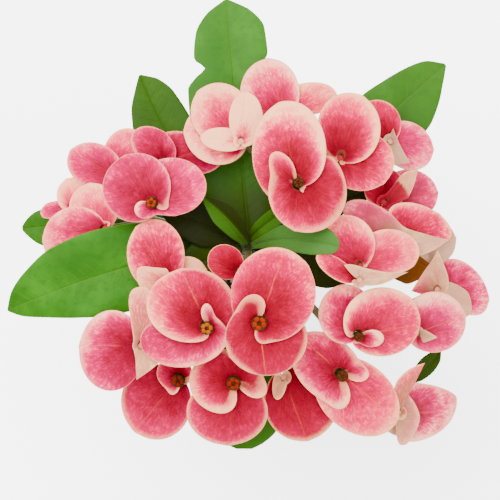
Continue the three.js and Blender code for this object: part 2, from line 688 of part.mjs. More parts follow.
function stalkMesh(name, stalk) {
  const root = new THREE.Vector3(...stalk.root);
  const fork = new THREE.Vector3(...stalk.fork);
  const middle = root.clone().lerp(fork, 0.5).add(new THREE.Vector3(0, 0, 2));
  const trunk = new THREE.CatmullRomCurve3([root, middle, fork], false, 'centripetal');
  const joint = new THREE.IcosahedronGeometry(STALK_RADIUS * 1.35, 0).translate(...stalk.fork);
  const pieces = [solidFrom(tubeGeometry(trunk, STALK_RADIUS, 5, 2)), solidFrom(joint)];
  for (const [bloomName, stops] of Object.entries(stalk.to)) {
    const bloom = BLOOMS[bloomName];
    const neck = neckPlace(bloom);
    const below = (depth) => neck.clone().add(new THREE.Vector3(0, 0, -depth));
    const knots = [fork, ...stops.map((stop) => new THREE.Vector3(...stop)), below(10), below(5)];
    knots.push(below(bloom.cup ? -2.2 : -0.6));
    const branch = new THREE.CatmullRomCurve3(knots, false, 'centripetal');
    pieces.push(solidFrom(tubeGeometry(branch, PEDICEL_RADIUS, 4, 4 + 2 * stops.length)));
    if (bloom.cup) pieces.push(cupSolid(bloom));
  }
  return meshFromSolid(name, joined(pieces), 'stalk');
}

// ---------------------------------------------------------------- stem and spines
const soilTop = POT_HEIGHT - SOIL_BELOW_RIM + SOIL_MOUND;

const stemPath = new THREE.CatmullRomCurve3([
  new THREE.Vector3(0, 0, soilTop - STEM_IN_SOIL + FIT_GAP),
  new THREE.Vector3(0, 0, soilTop - 8),
  new THREE.Vector3(0, 0, soilTop + 2),
  crown.localToWorld(new THREE.Vector3(-9, 9, -118)),
  crown.localToWorld(new THREE.Vector3(-4, 6, -60)),
  crown.localToWorld(HEART.clone()),
], false, 'centripetal');

function stemRadius(share) {
  const taper = lerp(STEM_RADIUS, STEM_TOP_RADIUS, share);
  if (share < 0.22) return STEM_RADIUS;
  if (share > 0.8) return lerp(taper, SHOOT_TIP_RADIUS, (share - 0.8) / 0.2);
  return taper + 0.45 * Math.sin(share * 42);
}

// The stem is turned as a straight post and then bent along its path.
function stemSolid() {
  const rings = Array.from({ length: STEM_RINGS + 1 }, (_, i) => i / STEM_RINGS);
  const profile = [[0, 0], ...rings.map((share) => [stemRadius(share), share]), [0, 1]];
  const post = turnedGeometry(profile, STEM_SIDES);
  const place = post.getAttribute('position');
  for (let i = 0; i < place.count; i++) {
    const share = clamp(place.getZ(i), 0, 1);
    const along = stemPath.getTangentAt(share);
    const side = new THREE.Vector3(1, 0, 0).addScaledVector(along, -along.x).normalize();
    const point = stemPath.getPointAt(share).addScaledVector(side, place.getX(i));
    point.addScaledVector(along.clone().cross(side), place.getY(i));
    place.setXYZ(i, point.x, point.y, point.z);
  }
  return solidFrom(post);
}

function spineSolid(pair, spread) {
  const share = lerp(SPINES_FROM, SPINES_TO, pair / (SPINE_PAIRS - 1));
  const along = stemPath.getTangentAt(share);
  const facing = rad(SPINE_TURN * pair + spread);
  const out = new THREE.Vector3(Math.cos(facing), Math.sin(facing), 0);
  out.addScaledVector(along, -out.dot(along)).normalize();
  const root = stemPath.getPointAt(share).addScaledVector(out, stemRadius(share) - SPINE_ROOT);
  const aim = out.clone().addScaledVector(along, 0.25 + 0.2 * Math.sin(pair * 2.1)).normalize();
  const length = SPINE_ROOT + SPINE_LENGTH * (0.9 + 0.15 * Math.sin(pair * 1.7 + spread));
  const spine = new THREE.ConeGeometry(SPINE_RADIUS, length, 4).translate(0, length / 2, 0);
  spine.applyQuaternion(new THREE.Quaternion().setFromUnitVectors(new THREE.Vector3(0, 1, 0), aim));
  return solidFrom(spine.translate(root.x, root.y, root.z));
}

function stemMesh() {
  const spines = [];
  for (let pair = 0; pair < SPINE_PAIRS; pair++) {
    spines.push(spineSolid(pair, -SPINE_SPREAD), spineSolid(pair, SPINE_SPREAD));
  }
  return meshFromSolid('stem', joined([stemSolid(), ...spines]), 'bark');
}

// ---------------------------------------------------------------- pot and soil
const potTaper = (POT_RIM_RADIUS - POT_BAND_OVERHANG - POT_FOOT_RADIUS) / POT_HEIGHT;
const potInside = POT_FOOT_RADIUS + potTaper * POT_FLOOR - POT_WALL;
const potMouth = POT_RIM_RADIUS - POT_WALL - 2;

function potMesh() {
  const bandFoot = POT_HEIGHT - POT_BAND_HEIGHT;
  const body = solidFrom(turnedGeometry([
    [0, 0],
    [POT_FOOT_RADIUS - 1, 0],
    [POT_FOOT_RADIUS, 1],
    [POT_FOOT_RADIUS + potTaper * bandFoot, bandFoot],
    [POT_RIM_RADIUS - 1, bandFoot + 0.8],
    [POT_RIM_RADIUS - 0.4, bandFoot + 2],
    [POT_RIM_RADIUS, POT_HEIGHT - 2],
    [POT_RIM_RADIUS - 1.2, POT_HEIGHT],
    [potMouth + 1.2, POT_HEIGHT],
    [potMouth, POT_HEIGHT - 1.5],
    [potInside, POT_FLOOR],
    [0, POT_FLOOR],
  ], POT_SIDES));
  const drains = Array.from({ length: DRAIN_COUNT }, (_, k) => {
    const turn = (2 * Math.PI * k) / DRAIN_COUNT + Math.PI / 6;
    const drain = new THREE.CylinderGeometry(DRAIN_RADIUS, DRAIN_RADIUS, POT_FLOOR * 2, 12);
    drain.rotateX(Math.PI / 2);
    drain.translate(DRAIN_FROM_CENTRE * Math.cos(turn), DRAIN_FROM_CENTRE * Math.sin(turn), 0);
    return solidFrom(drain.translate(0, 0, POT_FLOOR / 2));
  });
  return meshFromSolid('pot', body.subtract(joined(drains)), 'clay');
}

function soilMesh() {
  const wallLean = (potMouth - potInside) / (POT_HEIGHT - 1.5 - POT_FLOOR);
  const inside = (height) => potInside + wallLean * (height - POT_FLOOR) - FIT_GAP * 1.3;
  const edge = POT_HEIGHT - SOIL_BELOW_RIM;
  const hole = STEM_RADIUS + 2 * FIT_GAP;
  return meshFromSolid('soil', solidFrom(turnedGeometry([
    [0, POT_FLOOR + FIT_GAP],
    [inside(POT_FLOOR), POT_FLOOR + FIT_GAP],
    [inside(edge - 1), edge - 1],
    [inside(edge) - 3, edge + 0.8],
    [28, edge + SOIL_MOUND * 0.55],
    [hole + 3, soilTop],
    [hole, soilTop],
    [hole, soilTop - STEM_IN_SOIL],
    [0, soilTop - STEM_IN_SOIL],
  ], POT_SIDES)), 'soil');
}

// ---------------------------------------------------------------- the whole plant
for (const [name, leaf] of Object.entries(LEAVES)) crown.add(leafMesh(name, leaf));
for (const [name, stalk] of Object.entries(STALKS)) crown.add(stalkMesh(name, stalk));
for (const [name, bloom] of Object.entries(BLOOMS)) crown.add(bloomMesh(name, bloom));

const plant = new THREE.Group();
plant.name = 'crown_of_thorns_in_pot';
plant.add(potMesh(), soilMesh(), stemMesh(), crown);

export default plant;
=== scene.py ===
# %% [markdown]
# # Crown of thorns in a clay pot
#
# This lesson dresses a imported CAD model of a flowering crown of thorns, *Euphorbia milii*. The
# CAD solids are simple blades and tubes. Here each one is replaced by a finer piece of the same
# form, with living colour and relief.
#
# Everything is in metres, in the same frame as the CAD model. The tables of sizes below are in
# millimetres, because a grower would measure a plant that way.

# %% Load the frame
import math

import bmesh
import bpy
import numpy as np
from mathutils import Matrix, Vector


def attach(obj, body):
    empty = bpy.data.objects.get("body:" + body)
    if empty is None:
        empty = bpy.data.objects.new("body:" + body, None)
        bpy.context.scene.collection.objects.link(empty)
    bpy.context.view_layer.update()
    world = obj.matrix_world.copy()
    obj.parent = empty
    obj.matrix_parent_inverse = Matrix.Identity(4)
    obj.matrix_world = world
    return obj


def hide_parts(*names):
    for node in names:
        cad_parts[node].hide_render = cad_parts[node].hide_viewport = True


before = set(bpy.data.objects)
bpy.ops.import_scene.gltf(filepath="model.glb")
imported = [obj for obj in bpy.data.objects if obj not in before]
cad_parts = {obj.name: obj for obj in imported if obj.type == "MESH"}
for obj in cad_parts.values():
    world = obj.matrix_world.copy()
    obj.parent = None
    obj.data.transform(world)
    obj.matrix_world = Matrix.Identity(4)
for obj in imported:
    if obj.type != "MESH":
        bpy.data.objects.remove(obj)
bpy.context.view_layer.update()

# %% [markdown]
# ## The crown's own frame
#
# The plant leans a little to the front, so its flowers and leaves are laid out in a frame that
# leans with it: x to the right, y away from the viewer, z along the crown's axis. Making pieces
# in that frame and turning them once at the end is far easier than thinking in leaning
# coordinates. The flowers lie over a shallow dome.

# %% Crown frame
MM = 0.001
CROWN_LEAN = math.radians(12)
CROWN_CENTRE = np.array([12.0, -43.0, 234.0])
CROWN_CURVE = 200.0
LEAN = np.array([
    [1.0, 0.0, 0.0],
    [0.0, math.cos(CROWN_LEAN), -math.sin(CROWN_LEAN)],
    [0.0, math.sin(CROWN_LEAN), math.cos(CROWN_LEAN)],
])


def crown_to_row(points):
    """Points of the crown's frame, in millimetres, as points of the row frame, in metres."""
    return (np.asarray(points, float) @ LEAN.T + CROWN_CENTRE) * MM


print("crown leans", round(math.degrees(CROWN_LEAN)), "degrees")

# %% [markdown]
# ## Small tools
#
# A node tree is easier to read as one line per node, so `place_node` makes a node, sets its
# properties and joins its inputs in one call, and `output_of` gives one of its outputs. Meshes
# come from plain arrays of points and faces. `dress` does what every finished piece needs:
# smooth faces, a material, the body that it rides on, and hiding the CAD nodes that it stands
# for.

# %% Tools for nodes and meshes
def place_node(tree, kind, inputs=None, **settings):
    made = tree.nodes.new(kind)
    for key, value in settings.items():
        setattr(made, key, value)
    for key, value in (inputs or {}).items():
        value = getattr(value, "socket", value)
        if isinstance(value, bpy.types.NodeSocket):
            tree.links.new(value, made.inputs[key])
        else:
            color = made.inputs[key].type == "RGBA"
            made.inputs[key].default_value = (*value, 1) if color else value
    return made


def output_of(tree, kind, inputs=None, result=0, **settings):
    """One output of a new node."""
    return place_node(tree, kind, inputs, **settings).outputs[result]


def show(made):
    bpy.context.scene.collection.objects.link(made)
    return made


def mesh_from(name, points, faces=(), marks=None, uv=None, edges=()):
    """A mesh object from points and faces. `marks` are named numbers kept on every point."""
    mesh = bpy.data.meshes.new(name)
    mesh.from_pydata(np.asarray(points).tolist(), edges, faces)
    for mark, values in (marks or {}).items():
        values = np.asarray(values, np.float32)
        kind, key = ("FLOAT_VECTOR", "vector") if values.ndim == 2 else ("FLOAT", "value")
        mesh.attributes.new(mark, kind, "POINT").data.foreach_set(key, values.ravel())
    if uv is not None:
        corner = np.zeros(len(mesh.loops), np.int32)
        mesh.loops.foreach_get("vertex_index", corner)
        layer = mesh.uv_layers.new(name="vein_map")
        layer.data.foreach_set("uv", np.asarray(uv, np.float32)[corner].ravel())
    return show(bpy.data.objects.new(name, mesh))


def wear_material(piece, material):
    piece.data.materials.clear()
    piece.data.materials.append(material)
    piece.data.polygons.foreach_set("use_smooth", [True] * len(piece.data.polygons))
    piece.data.update()


def dress(piece, material, slot, *nodes):
    wear_material(piece, material)
    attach(piece, "root")
    if nodes:
        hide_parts(*nodes)


def bake_modifiers(piece):
    """The piece as a plain mesh, with what its modifiers make of it."""
    seen = piece.evaluated_get(bpy.context.evaluated_depsgraph_get())
    plain = bpy.data.meshes.new_from_object(seen)
    piece.modifiers.clear()
    piece.data = plain
    return piece


def unit(vectors):
    return vectors / np.linalg.norm(vectors, axis=-1, keepdims=True)


def soft_step(x):
    """A soft step from 0 to 1 while x goes from 0 to 1."""
    x = np.clip(x, 0, 1)
    return x * x * (3 - 2 * x)


print("tools ready")

# %% [markdown]
# ## Thin blades
#
# Bracts and leaves are both thin blades. A blade starts as a grid of points on its upper face.
# The lower face is the same grid moved down by the thickness, and the two meet along the
# border, which makes a closed skin with a soft edge. A Solidify modifier would also do, but it
# leaves a square edge that catches the light like a cut card.

# %% Blade mesh
def quads(grid):
    a, b, c, d = grid[:-1, :-1], grid[1:, :-1], grid[1:, 1:], grid[:-1, 1:]
    return np.stack([a, b, c, d], -1).reshape(-1, 4)


def blade_mesh(upper, thickness):
    """Points and faces of a closed blade, and for each point its place in the grid and its side."""
    rows, columns = upper.shape[:2]
    upper = upper.copy()
    inner = np.zeros((rows, columns), bool)
    inner[1:-1, 1:-1] = True
    lower = upper.copy()
    lower[..., 2] -= thickness
    upper[..., 2][~inner] -= thickness / 2
    top = np.arange(rows * columns).reshape(rows, columns)
    bottom = top.copy()
    bottom[inner] = rows * columns + np.arange(inner.sum())
    points = np.vstack([upper.reshape(-1, 3), lower[inner]])
    source = np.concatenate([top.ravel(), top[inner]])
    side = np.concatenate([np.where(inner, 0.0, 0.3).ravel(), np.ones(inner.sum())])
    return points, np.vstack([quads(top), quads(bottom)[:, [0, 3, 2, 1]]]), source, side


print("blade tool ready")

# %% [markdown]
# ## Curves through points
#
# Stem and stalks follow smooth curves through a few points. The curve is a centripetal
# Catmull-Rom spline, the same kind that the CAD model uses, so the finer pieces lie where the
# solids are. `smooth_between` draws a smooth line through a few widths without overshooting.
# Both join their points with the same cubic, `cubic_join`.

# %% Curve tools
def cubic_join(start, leave, end, arrive, t):
    """From start to end while t goes from 0 to 1, with the given slopes at both."""
    return (
        (2 * t**3 - 3 * t**2 + 1) * start + (t**3 - 2 * t**2 + t) * leave
        + (3 * t**2 - 2 * t**3) * end + (t**3 - t**2) * arrive
    )


def spline_through(knots, per_span):
    """Points along a centripetal Catmull-Rom curve, evenly spaced."""
    knots = [np.asarray(k, float) for k in knots]
    knots = [2 * knots[0] - knots[1], *knots, 2 * knots[-1] - knots[-2]]
    line = []
    for before, start, end, after in zip(knots, knots[1:], knots[2:], knots[3:]):
        gap0, gap1, gap2 = (np.linalg.norm(d) ** 0.5 for d in (start - before, end - start, after - end))
        leave = (start - before) / gap0 - (end - before) / (gap0 + gap1) + (end - start) / gap1
        arrive = (end - start) / gap1 - (after - start) / (gap1 + gap2) + (after - end) / gap2
        for t in np.linspace(0, 1, per_span, endpoint=False):
            line.append(cubic_join(start, leave * gap1, end, arrive * gap1, t))
    line = np.array([*line, knots[-2]])
    run = np.concatenate([[0], np.cumsum(np.linalg.norm(np.diff(line, axis=0), axis=1))])
    wanted = np.linspace(0, run[-1], len(line))
    return np.stack([np.interp(wanted, run, line[:, k]) for k in range(3)], -1)


def smooth_between(x, places, values):
    """A monotone cubic through the given values, without bumps between them."""
    step = np.diff(places)
    slope = np.diff(values) / step
    tilt = np.zeros(len(places))
    same = slope[:-1] * slope[1:] > 0
    tilt[1:-1][same] = 2 * slope[:-1][same] * slope[1:][same] / (slope[:-1] + slope[1:])[same]
    tilt[0], tilt[-1] = slope[0], slope[-1]
    i = np.clip(np.searchsorted(places, x, side="right") - 1, 0, len(step) - 1)
    t = (x - places[i]) / step[i]
    return cubic_join(values[i], step[i] * tilt[i], values[i + 1], step[i] * tilt[i + 1], t)


print("curve tools ready")

# %% [markdown]
# ## Tables in plain words
#
# A plant has many parts of the same few kinds. Their sizes are kept in short tables, where each
# word is followed by its numbers, and `read_table` turns them into Python values. That is much
# easier to compare and correct than nested brackets.

# %% Table reader
def read_table(text):
    """Pairs of a word and the numbers after it. Commas only part groups of numbers."""
    pairs = []
    for word in text.replace(",", " ").split():
        if word[0].isalpha():
            pairs.append((word, []))
        else:
            pairs[-1][1].append(float(word))
    return pairs


def plain_value(numbers):
    """No number means yes, one number is itself, more stay a list."""
    return numbers[0] if len(numbers) == 1 else numbers or True


print("reader:", read_table("fade 100 0.3 pale"))

# %% [markdown]
# ## What each flower is
#
# What looks like a petal is a bract, a coloured leaf. Every flower has a pair of broad bracts
# round a narrow neck, and the tiny true flowers sit in a cup at the neck. The table gives each
# flower's neck and its height over the dome. `over` says whether its bracts overlap clockwise
# (-1) or counter-clockwise (1); without it the first lies on top. `cup` is an open cup, with
# its width and how far its glands have aged.
#
# A bract is an oval: centre, half sizes, and the direction of its open notch in degrees. `turn`
# turns the oval, `lobes` draws out the lobes beside the notch (`lobe_at` and `lobe_width` say
# where and how broadly), `point` draws the margin out in one direction, and `pitch` tips the
# bract up. PLAIN_BRACT holds what counts where a bract's own row says nothing. A bract that is
# folded over shows only a part of itself, so it has an `outline`: places in the crown,
# counter-clockwise round its neck. `sharp` counts out those of them that are sharp points,
# from 0.
#
# No two bracts on a plant are the same red. They open pale, flush, and fade again, and the side
# that hangs in the sun bleaches first. So each bract says how far its red runs (`flush`), how
# washed out it is even at the neck (`light`), towards which side it fades and how much
# (`fade`), how clear its midrib is (`rib`), how much the red leans to rose (`rose`), how greyed
# it is (`dust`), how wide the cream margin is in millimetres (`edge`), and how far it shows its
# underside (`back`), all over, beyond a fold (`fold_at`, in millimetres from the neck) or more
# towards one side (`back_to`). `pale` marks a bract that is folded to its pale underside. The
# midrib runs opposite the notch unless `rib_to` gives its direction.

# %% Flower table
PLAIN_BRACT = """
pitch 0 point 0 0 lobes 0 0 lobe_at 138 lobe_width 24
flush 1 light 0 fade 0 0 rib 0.12 rose 0.2 dust 0 edge 0.9 back 0 back_to 0 0 fold_at 0
"""

BLOOM_TABLE = """
bloom_left_1 -48 23 17 over -1 cup 0.95 0.36
  bract -56.5 31 17 17.5 300 lobes 0 2 flush 1.15 fade 100 0.15 rose 0.9 edge 0.7
  bract -39 31.5 17.5 14.5 150 turn 0 lobes 0 6.5 lobe_at 116 lobe_width 54 flush 1.15 light 0.25 rose 0.9 edge 0.7
bloom_left_2 -69 38 -8
  bract -78.5 42.5 15 11.5 330 flush 1.3 light 0.3 fade 100 0.3 rose 0.9
  bract -63 50 12 11 230 flush 1.3 light 0.55 fade 100 0.1 rose 0.5
bloom_left_3 -43 44 -1
  bract -48.5 52 12.5 9 270 turn -35 pitch 0.25 flush 1.05 rose 0.8 fade 240 0.4
  bract -32.5 49 16.5 10 200 turn -20 flush 1.2 rose 0.7 edge 0.6 point -2 2.6
bloom_left_4 -73 11 -3
  bract -88 5.5 17 16.5 10 flush 1.2 light 0.4 fade 130 0.3 rose 0.6
  bract -79 21 13 12.5 290 flush 1.25 light 0.75 fade 100 0.1
bloom_left_5 -91 22 -14
  bract -90 28 9 8.5 280 flush 1.2 light 0.95
  bract -98 20.5 9 4.5 20 flush 1.2 light 0.4 rose 1 point 172 1.4
bloom_top_1 -4.5 54 9
  bract -14 67.5 17 15 310 flush 1.2 light 0.5 fade 120 0.4
  bract -17 57.5 16.5 14.5 350 turn 150 flush 1.1 light 0.5 fade 250 0.5 edge 1.4
bloom_top_young -4.5 54 18 young
  bract -2 65 13.5 8.5 265 turn 90 pitch 0.25 pale light 0.95 fade 110 0.4
  bract -13 55 11.5 6 355 turn 175 pitch 0.1 pale light 1 fade 180 0.3
bloom_top_2 17 67 2
  bract 10 79 17.5 15 285 turn 90 flush 1.05 light 0.25 fade 100 0.5 rose 0.5
  bract 29 76 15 8.5 200 turn 10 flush 1.2 light 0.6 fade 90 0.2
bloom_centre 23.5 32.5 24 over -1 cup 0.85 0.95
  bract 19.5 48 26 18.5 282 turn 90 lobes 0 -6 lobe_at 122 lobe_width 40 flush 1.1 light -0.12 fade 65 1.3 rib 0.2
    edge 1.5
  bract 28.5 28.5 19.5 20 85 turn 0 lobes 2 7 flush 1.2 light -0.05 fade 230 0.5 edge 1.4
bloom_right_1 45 46 11
  bract 49.5 61 18 16 250 turn 90 flush 1.15 light -0.12 fade 40 1.2 edge 1.3
  bract 55.5 44.5 17 15 150 turn 0 fade 330 0.2 edge 1.3
bloom_right_2 71 55 -4
  bract 73 49.5 11 7.5 200 turn 100 pitch 0.35 pale back 0.9 dust 0.7 back_to 250 0.2
    sharp 1 8 outline 75 55, 72.4 61.5, 69.7 57.2, 65.3 55.6, 64 51, 66 45, 71.6 43, 76.2 43.1, 81.1 43.9, 78.1 48.8
  bract 65.5 64.5 12 11 300 fade 330 0.2
  bract 80 53 14 12 170 turn -35 flush 1.15 light 0.45 rose 1
bloom_right_3 67.5 24 -4
  bract 76.5 32 12 6 230 turn 55 pitch 0.3 pale back 0.95 fold_at 12.6 flush 1.5 rose 0 dust 0.1
    sharp 0 3 outline 79.7 26.2, 82.5 32.5, 83.8 37.5, 84.7 40.6, 78.8 39.4, 75.3 36.9, 70 30, 66.5 27, 65.5 24,
      65.8 21.8, 68 21.4, 72 22.5
  bract 68 30.5 11 10.5 270 flush 1.15 rose 0
  bract 80.5 28 15 13 190 turn 0 flush 0.95 rose 1 dust 0.25
bloom_right_4 74 6 3
  bract 74 11 27 10 250 turn -22 pale back 0.62 back_to 345 0.75 flush 0.9 dust 0.5 rose 1 fade 300 0.4
    sharp 0 outline 99.8 5, 87.8 8.2, 77.6 11.6, 69.9 18.9, 61.4 23.6, 55.4 25.3, 48.5 24, 46.4 18.9, 49 15, 58 8,
      70 0, 81 -1.6, 85.3 -2.9, 93.8 0.5
  bract 85.5 13.5 17 9 210 turn -22 flush 0.85 fade 180 0.2 point -3 1
  bract 94 4 11 10.5 180 turn 90 pale back 0.9 back_to 300 0.3 dust 0.8
bloom_right_5 55 -8 12
  bract 47.5 2.5 15 15 330 flush 1.15 light 0.3 fade 70 0.5 edge 1.3
  bract 69.5 -1 15.5 11.5 180 turn 0 flush 1.35 light 0.65 fade 30 0.2
bloom_right_6 54.5 -15 19
  bract 60 -11.5 16 6.5 160 turn -5 pale back 0.85 back_to 0 0.35 dust 0.3
    sharp 0 4 outline 78.9 -11, 69.9 -11.2, 60.5 -9.7, 52.8 -7.6, 44.4 -5.4, 49.4 -12.7, 50.5 -16, 55.4 -17.6,
      62.6 -17.6, 68.2 -16.1, 74.2 -13.1
  bract 42.5 -9 11.5 5 60 turn -35 flush 0.85
bloom_right_7 95 -20 -8
  bract 92 -12.5 13 9 280 turn 70 pitch 0.5 pale back 0.5 back_to 55 0.6 flush 0.8 rose 0.8 dust 0.3
    sharp 2 5 outline 100.8 -15.3, 98.9 -9.3, 94.7 0.1, 91.3 -5.9, 87 -12, 81.5 -20.8, 88 -22.8, 94 -23.5, 100 -21
  bract 101.5 -25 13.5 10.5 130 turn -20 pitch 0.2 pale back 0.95 back_to 330 0.2 rib 1 rose 0.8 dust 0.6
    outline 106.6 -18.3, 100.8 -16.1, 95 -16.8, 91 -19.5, 92 -24, 97 -29, 104.1 -33.6, 108.3 -34.7, 112.2 -32.8,
      113 -28.9, 111.3 -22.1
  bract 109 -19 17 10.5 170 turn -50 flush 0.8 rose 1
bloom_right_8 53.5 -42.5 10 over 1 cup 0.8 0.9
  bract 66 -36 19.5 17.5 215 turn 0 flush 1.15 light 0.3 fade 118 0.9 rib 0.6 rib_to 9 edge 1.1
  bract 48 -32 14 15 37 turn 0 lobes 10 0 lobe_at 132 lobe_width 44 flush 0.85 fade 150 0.2 rib 0.2 rose 0.6
bloom_right_9 84 -42 1
  bract 93 -36.5 16.5 15.5 200 turn 0 flush 1.1 light 0.3 fade 105 0.7 rib 0.4 rose 1 dust 0.06
  bract 87 -43 9 4.5 190 turn 0 pitch 0.6 pale back 0.95 dust 0.5
    sharp 7 outline 88.7 -40.5, 86.1 -40.3, 82.5 -40.2, 81.5 -42, 82 -45, 86.6 -46.9, 91.3 -45.6, 94.7 -44.1
bloom_bottom_0 -40 -17 9
  bract -47 -2.5 18 14.5 300 turn 95 flush 0.88 fade 90 0.15
  bract -48 -15 10.5 7 350 turn 180 pale on_top flush 0.9 light 0.6 back 0.35
    sharp 1 outline -38 -15, -41.6 -9.2, -48 -8.6, -54 -8.1, -56.4 -10.5, -55.7 -16.7, -51.5 -22.6, -46 -21,
      -41 -20.5, -38 -19
  bract -33 -14 12 10.5 200 turn 30 pale light 0.8 back 0.5
bloom_bottom_1 -21 -38 16 over 1 cup 1.1 0.08
  bract -29.5 -27.5 22 18.5 295 turn 0 flush 1.1 light -0.12 fade 195 1 rib 0.7 edge 1.2
  bract -33 -44 22 14.5 135 turn 5 lobes 5 0 flush 1.1 light 0.05 fade 300 0.7 rose 0.7
bloom_bottom_2 4.5 -35.5 19 over -1 cup 1.28 0.4
  bract 11.5 -22 23.5 21 230 turn 80 lobes 0 2 flush 1.15 light -0.08 fade 75 0.6 rib 0.7 rib_to 70
  bract 8 -44 20.5 18.5 50 turn 0 lobes 0 4.6 lobe_at 122 lobe_width 42 flush 1.4 rib 0.6 rib_to 277 edge 1
bloom_bottom_3 -55 -48 8
  bract -69.5 -50.5 20.5 16.5 0 turn 85 flush 1.05 light -0.1 fade 145 0.7 rib 0.4 rose 0.9
  bract -53 -43 21 8 20 turn 95 pale on_top flush 0.9 light 0.35 back 0.7 back_to 270 0.4 dust 0.15
    sharp 10 outline -46.5 -42.5, -47.3 -30, -50 -19.5, -57 -18.8, -60.3 -23, -60.2 -30, -59.6 -35.2, -58.5 -43.6,
      -58.4 -49, -57.4 -55, -56.9 -65, -45.6 -56.3, -46 -50
bloom_bottom_4 -35.5 -64.5 -3 cup 1.15 0.7
  bract -38 -62 9 8.5 290 turn 180 lobes 3 0 flush 0.9 edge 1.2
  bract -47.5 -77 19.5 18 50 turn 90 flush 1.25 light -0.12 fade 250 0.45 rib 0.3 rose 0.5
bloom_bottom_5 -8 -65.5 7 cup 1.2 0.6
  bract -12 -66 18.5 16.5 295 turn 0 lobes 0 3 flush 1.05 light -0.15 fade 250 0.9 edge 1.4
  bract -11.5 -81.5 20.5 17 85 turn 0 flush 1.25 light -0.1 fade 200 0.4 rose 0.4
bloom_bottom_6 17 -64 -3
  bract 15 -67 8.5 3.6 120 turn 80 pale back 0.8 flush 0.8
  bract 26 -76.5 19 20.5 110 turn 0 flush 1.6 rib 0.3
bloom_bottom_7 45.5 -62 4 cup 1 0.95
  bract 39 -59 21.5 15 315 turn -45 lobes 3 3 flush 0.92 fade 200 0.35 rib 0.6 rib_to 137 edge 1.2 rose 0.5
  bract 54 -74 24.5 17.5 140 turn -40 flush 1.35 light 0.65 fade 180 0.2 rib 0.7 edge 1.2
bloom_bottom_9 -5 -11 6
  bract -12 -6 9.5 8.5 350 flush 1.35 rose 0
  bract 3 -16 9 8 150 flush 1.3
bloom_bottom_8 76 -83 -6
  bract 79.5 -73 15.5 5 240 turn 63 pitch 0.5 pale back 0.7 back_to 245 0.4 flush 0.8
    sharp 1 outline 78 -79.5, 88.1 -56.8, 83.2 -58.5, 78.8 -61, 74.4 -65.7, 72.8 -70.7, 73.3 -77, 73.5 -82,
      75 -85.4, 78 -84
  bract 80.5 -87.5 14 6.5 190 turn 90 pitch 0.3 pale back 0.8 back_to 180 0.3 flush 0.7 rose 1 dust 0.4
    outline 86 -82.5, 83.2 -76.9, 79.1 -73.2, 74.5 -79, 74 -85, 75.3 -97.5, 78.2 -99.9, 81.3 -98.2, 85 -91.9,
      86.6 -86.3
  bract 92.5 -83.5 17 15.5 180 turn 0 flush 0.75 fade 270 0.4 rib 0.4 rose 1 dust 0.2
    outline 105.7 -82.5, 106.4 -78.8, 105.7 -74.7, 100 -71.3, 90.7 -68.5, 80 -68.5, 74 -80, 75 -90, 80 -97.5,
      86.3 -98.2, 93.8 -95.7, 99.4 -92.2, 103.5 -87.5
  bract 72.5 -88 9 5 30 turn -45 pale back 1 dust 0.5 point 200 1.5
"""


def read_blooms(text):
    plain = {word: plain_value(numbers) for word, numbers in read_table(PLAIN_BRACT)}
    blooms = {}
    for word, numbers in read_table(text):
        if word.startswith("bloom_"):
            row = bloom = {"neck": np.array(numbers[:2]), "level": numbers[2], "over": 0, "bracts": []}
            blooms[word] = bloom
        elif word == "bract":
            row = {**plain, "at": np.array(numbers[:2]), "half": numbers[2:4], "sinus": numbers[4]}
            bloom["bracts"].append(row)
        else:
            row[word] = plain_value(numbers)
    return blooms


BLOOMS = read_blooms(BLOOM_TABLE)
print("flowers:", len(BLOOMS), "bracts:", sum(len(b["bracts"]) for b in BLOOMS.values()))

# %% [markdown]
# ## The form of a bract
#
# A bract is a disc cut open from its neck to its notch, like a lily pad. Its outline is an oval
# seen from the neck. From the side it is a shallow funnel whose rim rolls down a little. Where
# two bracts of a flower overlap, each one rises on the side that lies on top. These rules come
# straight from the CAD model, so the two agree. Directions round the neck are in degrees, and
# `swing` counts them from the bract's middle, opposite its notch.

# %% Bract form
OPEN_NECK_RADIUS = 1.9
NECK_RADIUS = 1.5
FUNNEL_DEPTH = 4.0
FUNNEL_REACH = 4.0
OVERLAP_AT_NECK = 0.8
OVERLAP_SLOPE = 0.15
RIM_ROLL = 0.1
LEAST_REACH = 2.4
ANGLE_SHARE = 0.35
LOBE_START = 118.0
LOBE_END = 168.0
LOBE_ROUNDING = 0.93
TIP_LENGTH = 0.5
TIP_WIDTH = 3.0
POINT_WIDTH = 11.0
YOUNG_DEPTH = 0.7


def oval_turn(bloom, bract):
    dx, dy = bract["at"] - bloom["neck"]
    return math.radians(bract["turn"]) if "turn" in bract else math.atan2(dy, dx)


def oval_reach(bloom, bract, angle):
    """Distance from the neck to the edge of the bract's oval, for directions in degrees."""
    dx, dy = bract["at"] - bloom["neck"]
    turn = oval_turn(bloom, bract)
    a, b = bract["half"]
    along = (dx * math.cos(turn) + dy * math.sin(turn)) / a
    across = (dy * math.cos(turn) - dx * math.sin(turn)) / b
    p = np.cos(np.radians(angle) - turn) / a
    q = np.sin(np.radians(angle) - turn) / b
    square, linear = p * p + q * q, p * along + q * across
    constant = along * along + across * across - 1
    inside = linear * linear - square * constant
    reach = (linear + np.sqrt(np.maximum(inside, 0))) / square
    return np.where((inside <= 0) | ((constant > 0) & (linear < 0)), 0, reach)


def neck_radius(bloom):
    return OPEN_NECK_RADIUS if "cup" in bloom else NECK_RADIUS


def swings_of(places, bract):
    """Directions of places seen from the neck, measured from the bract's middle."""
    return (np.degrees(np.arctan2(places[:, 1], places[:, 0])) - bract["sinus"]) % 360 - 180


def outline_ring(bloom, bract):
    """The folded outline seen from the neck, and which of its places are sharp."""
    ring = np.reshape(bract["outline"], (-1, 2)) - bloom["neck"]
    return ring, np.isin(np.arange(len(ring)), bract.get("sharp", []))


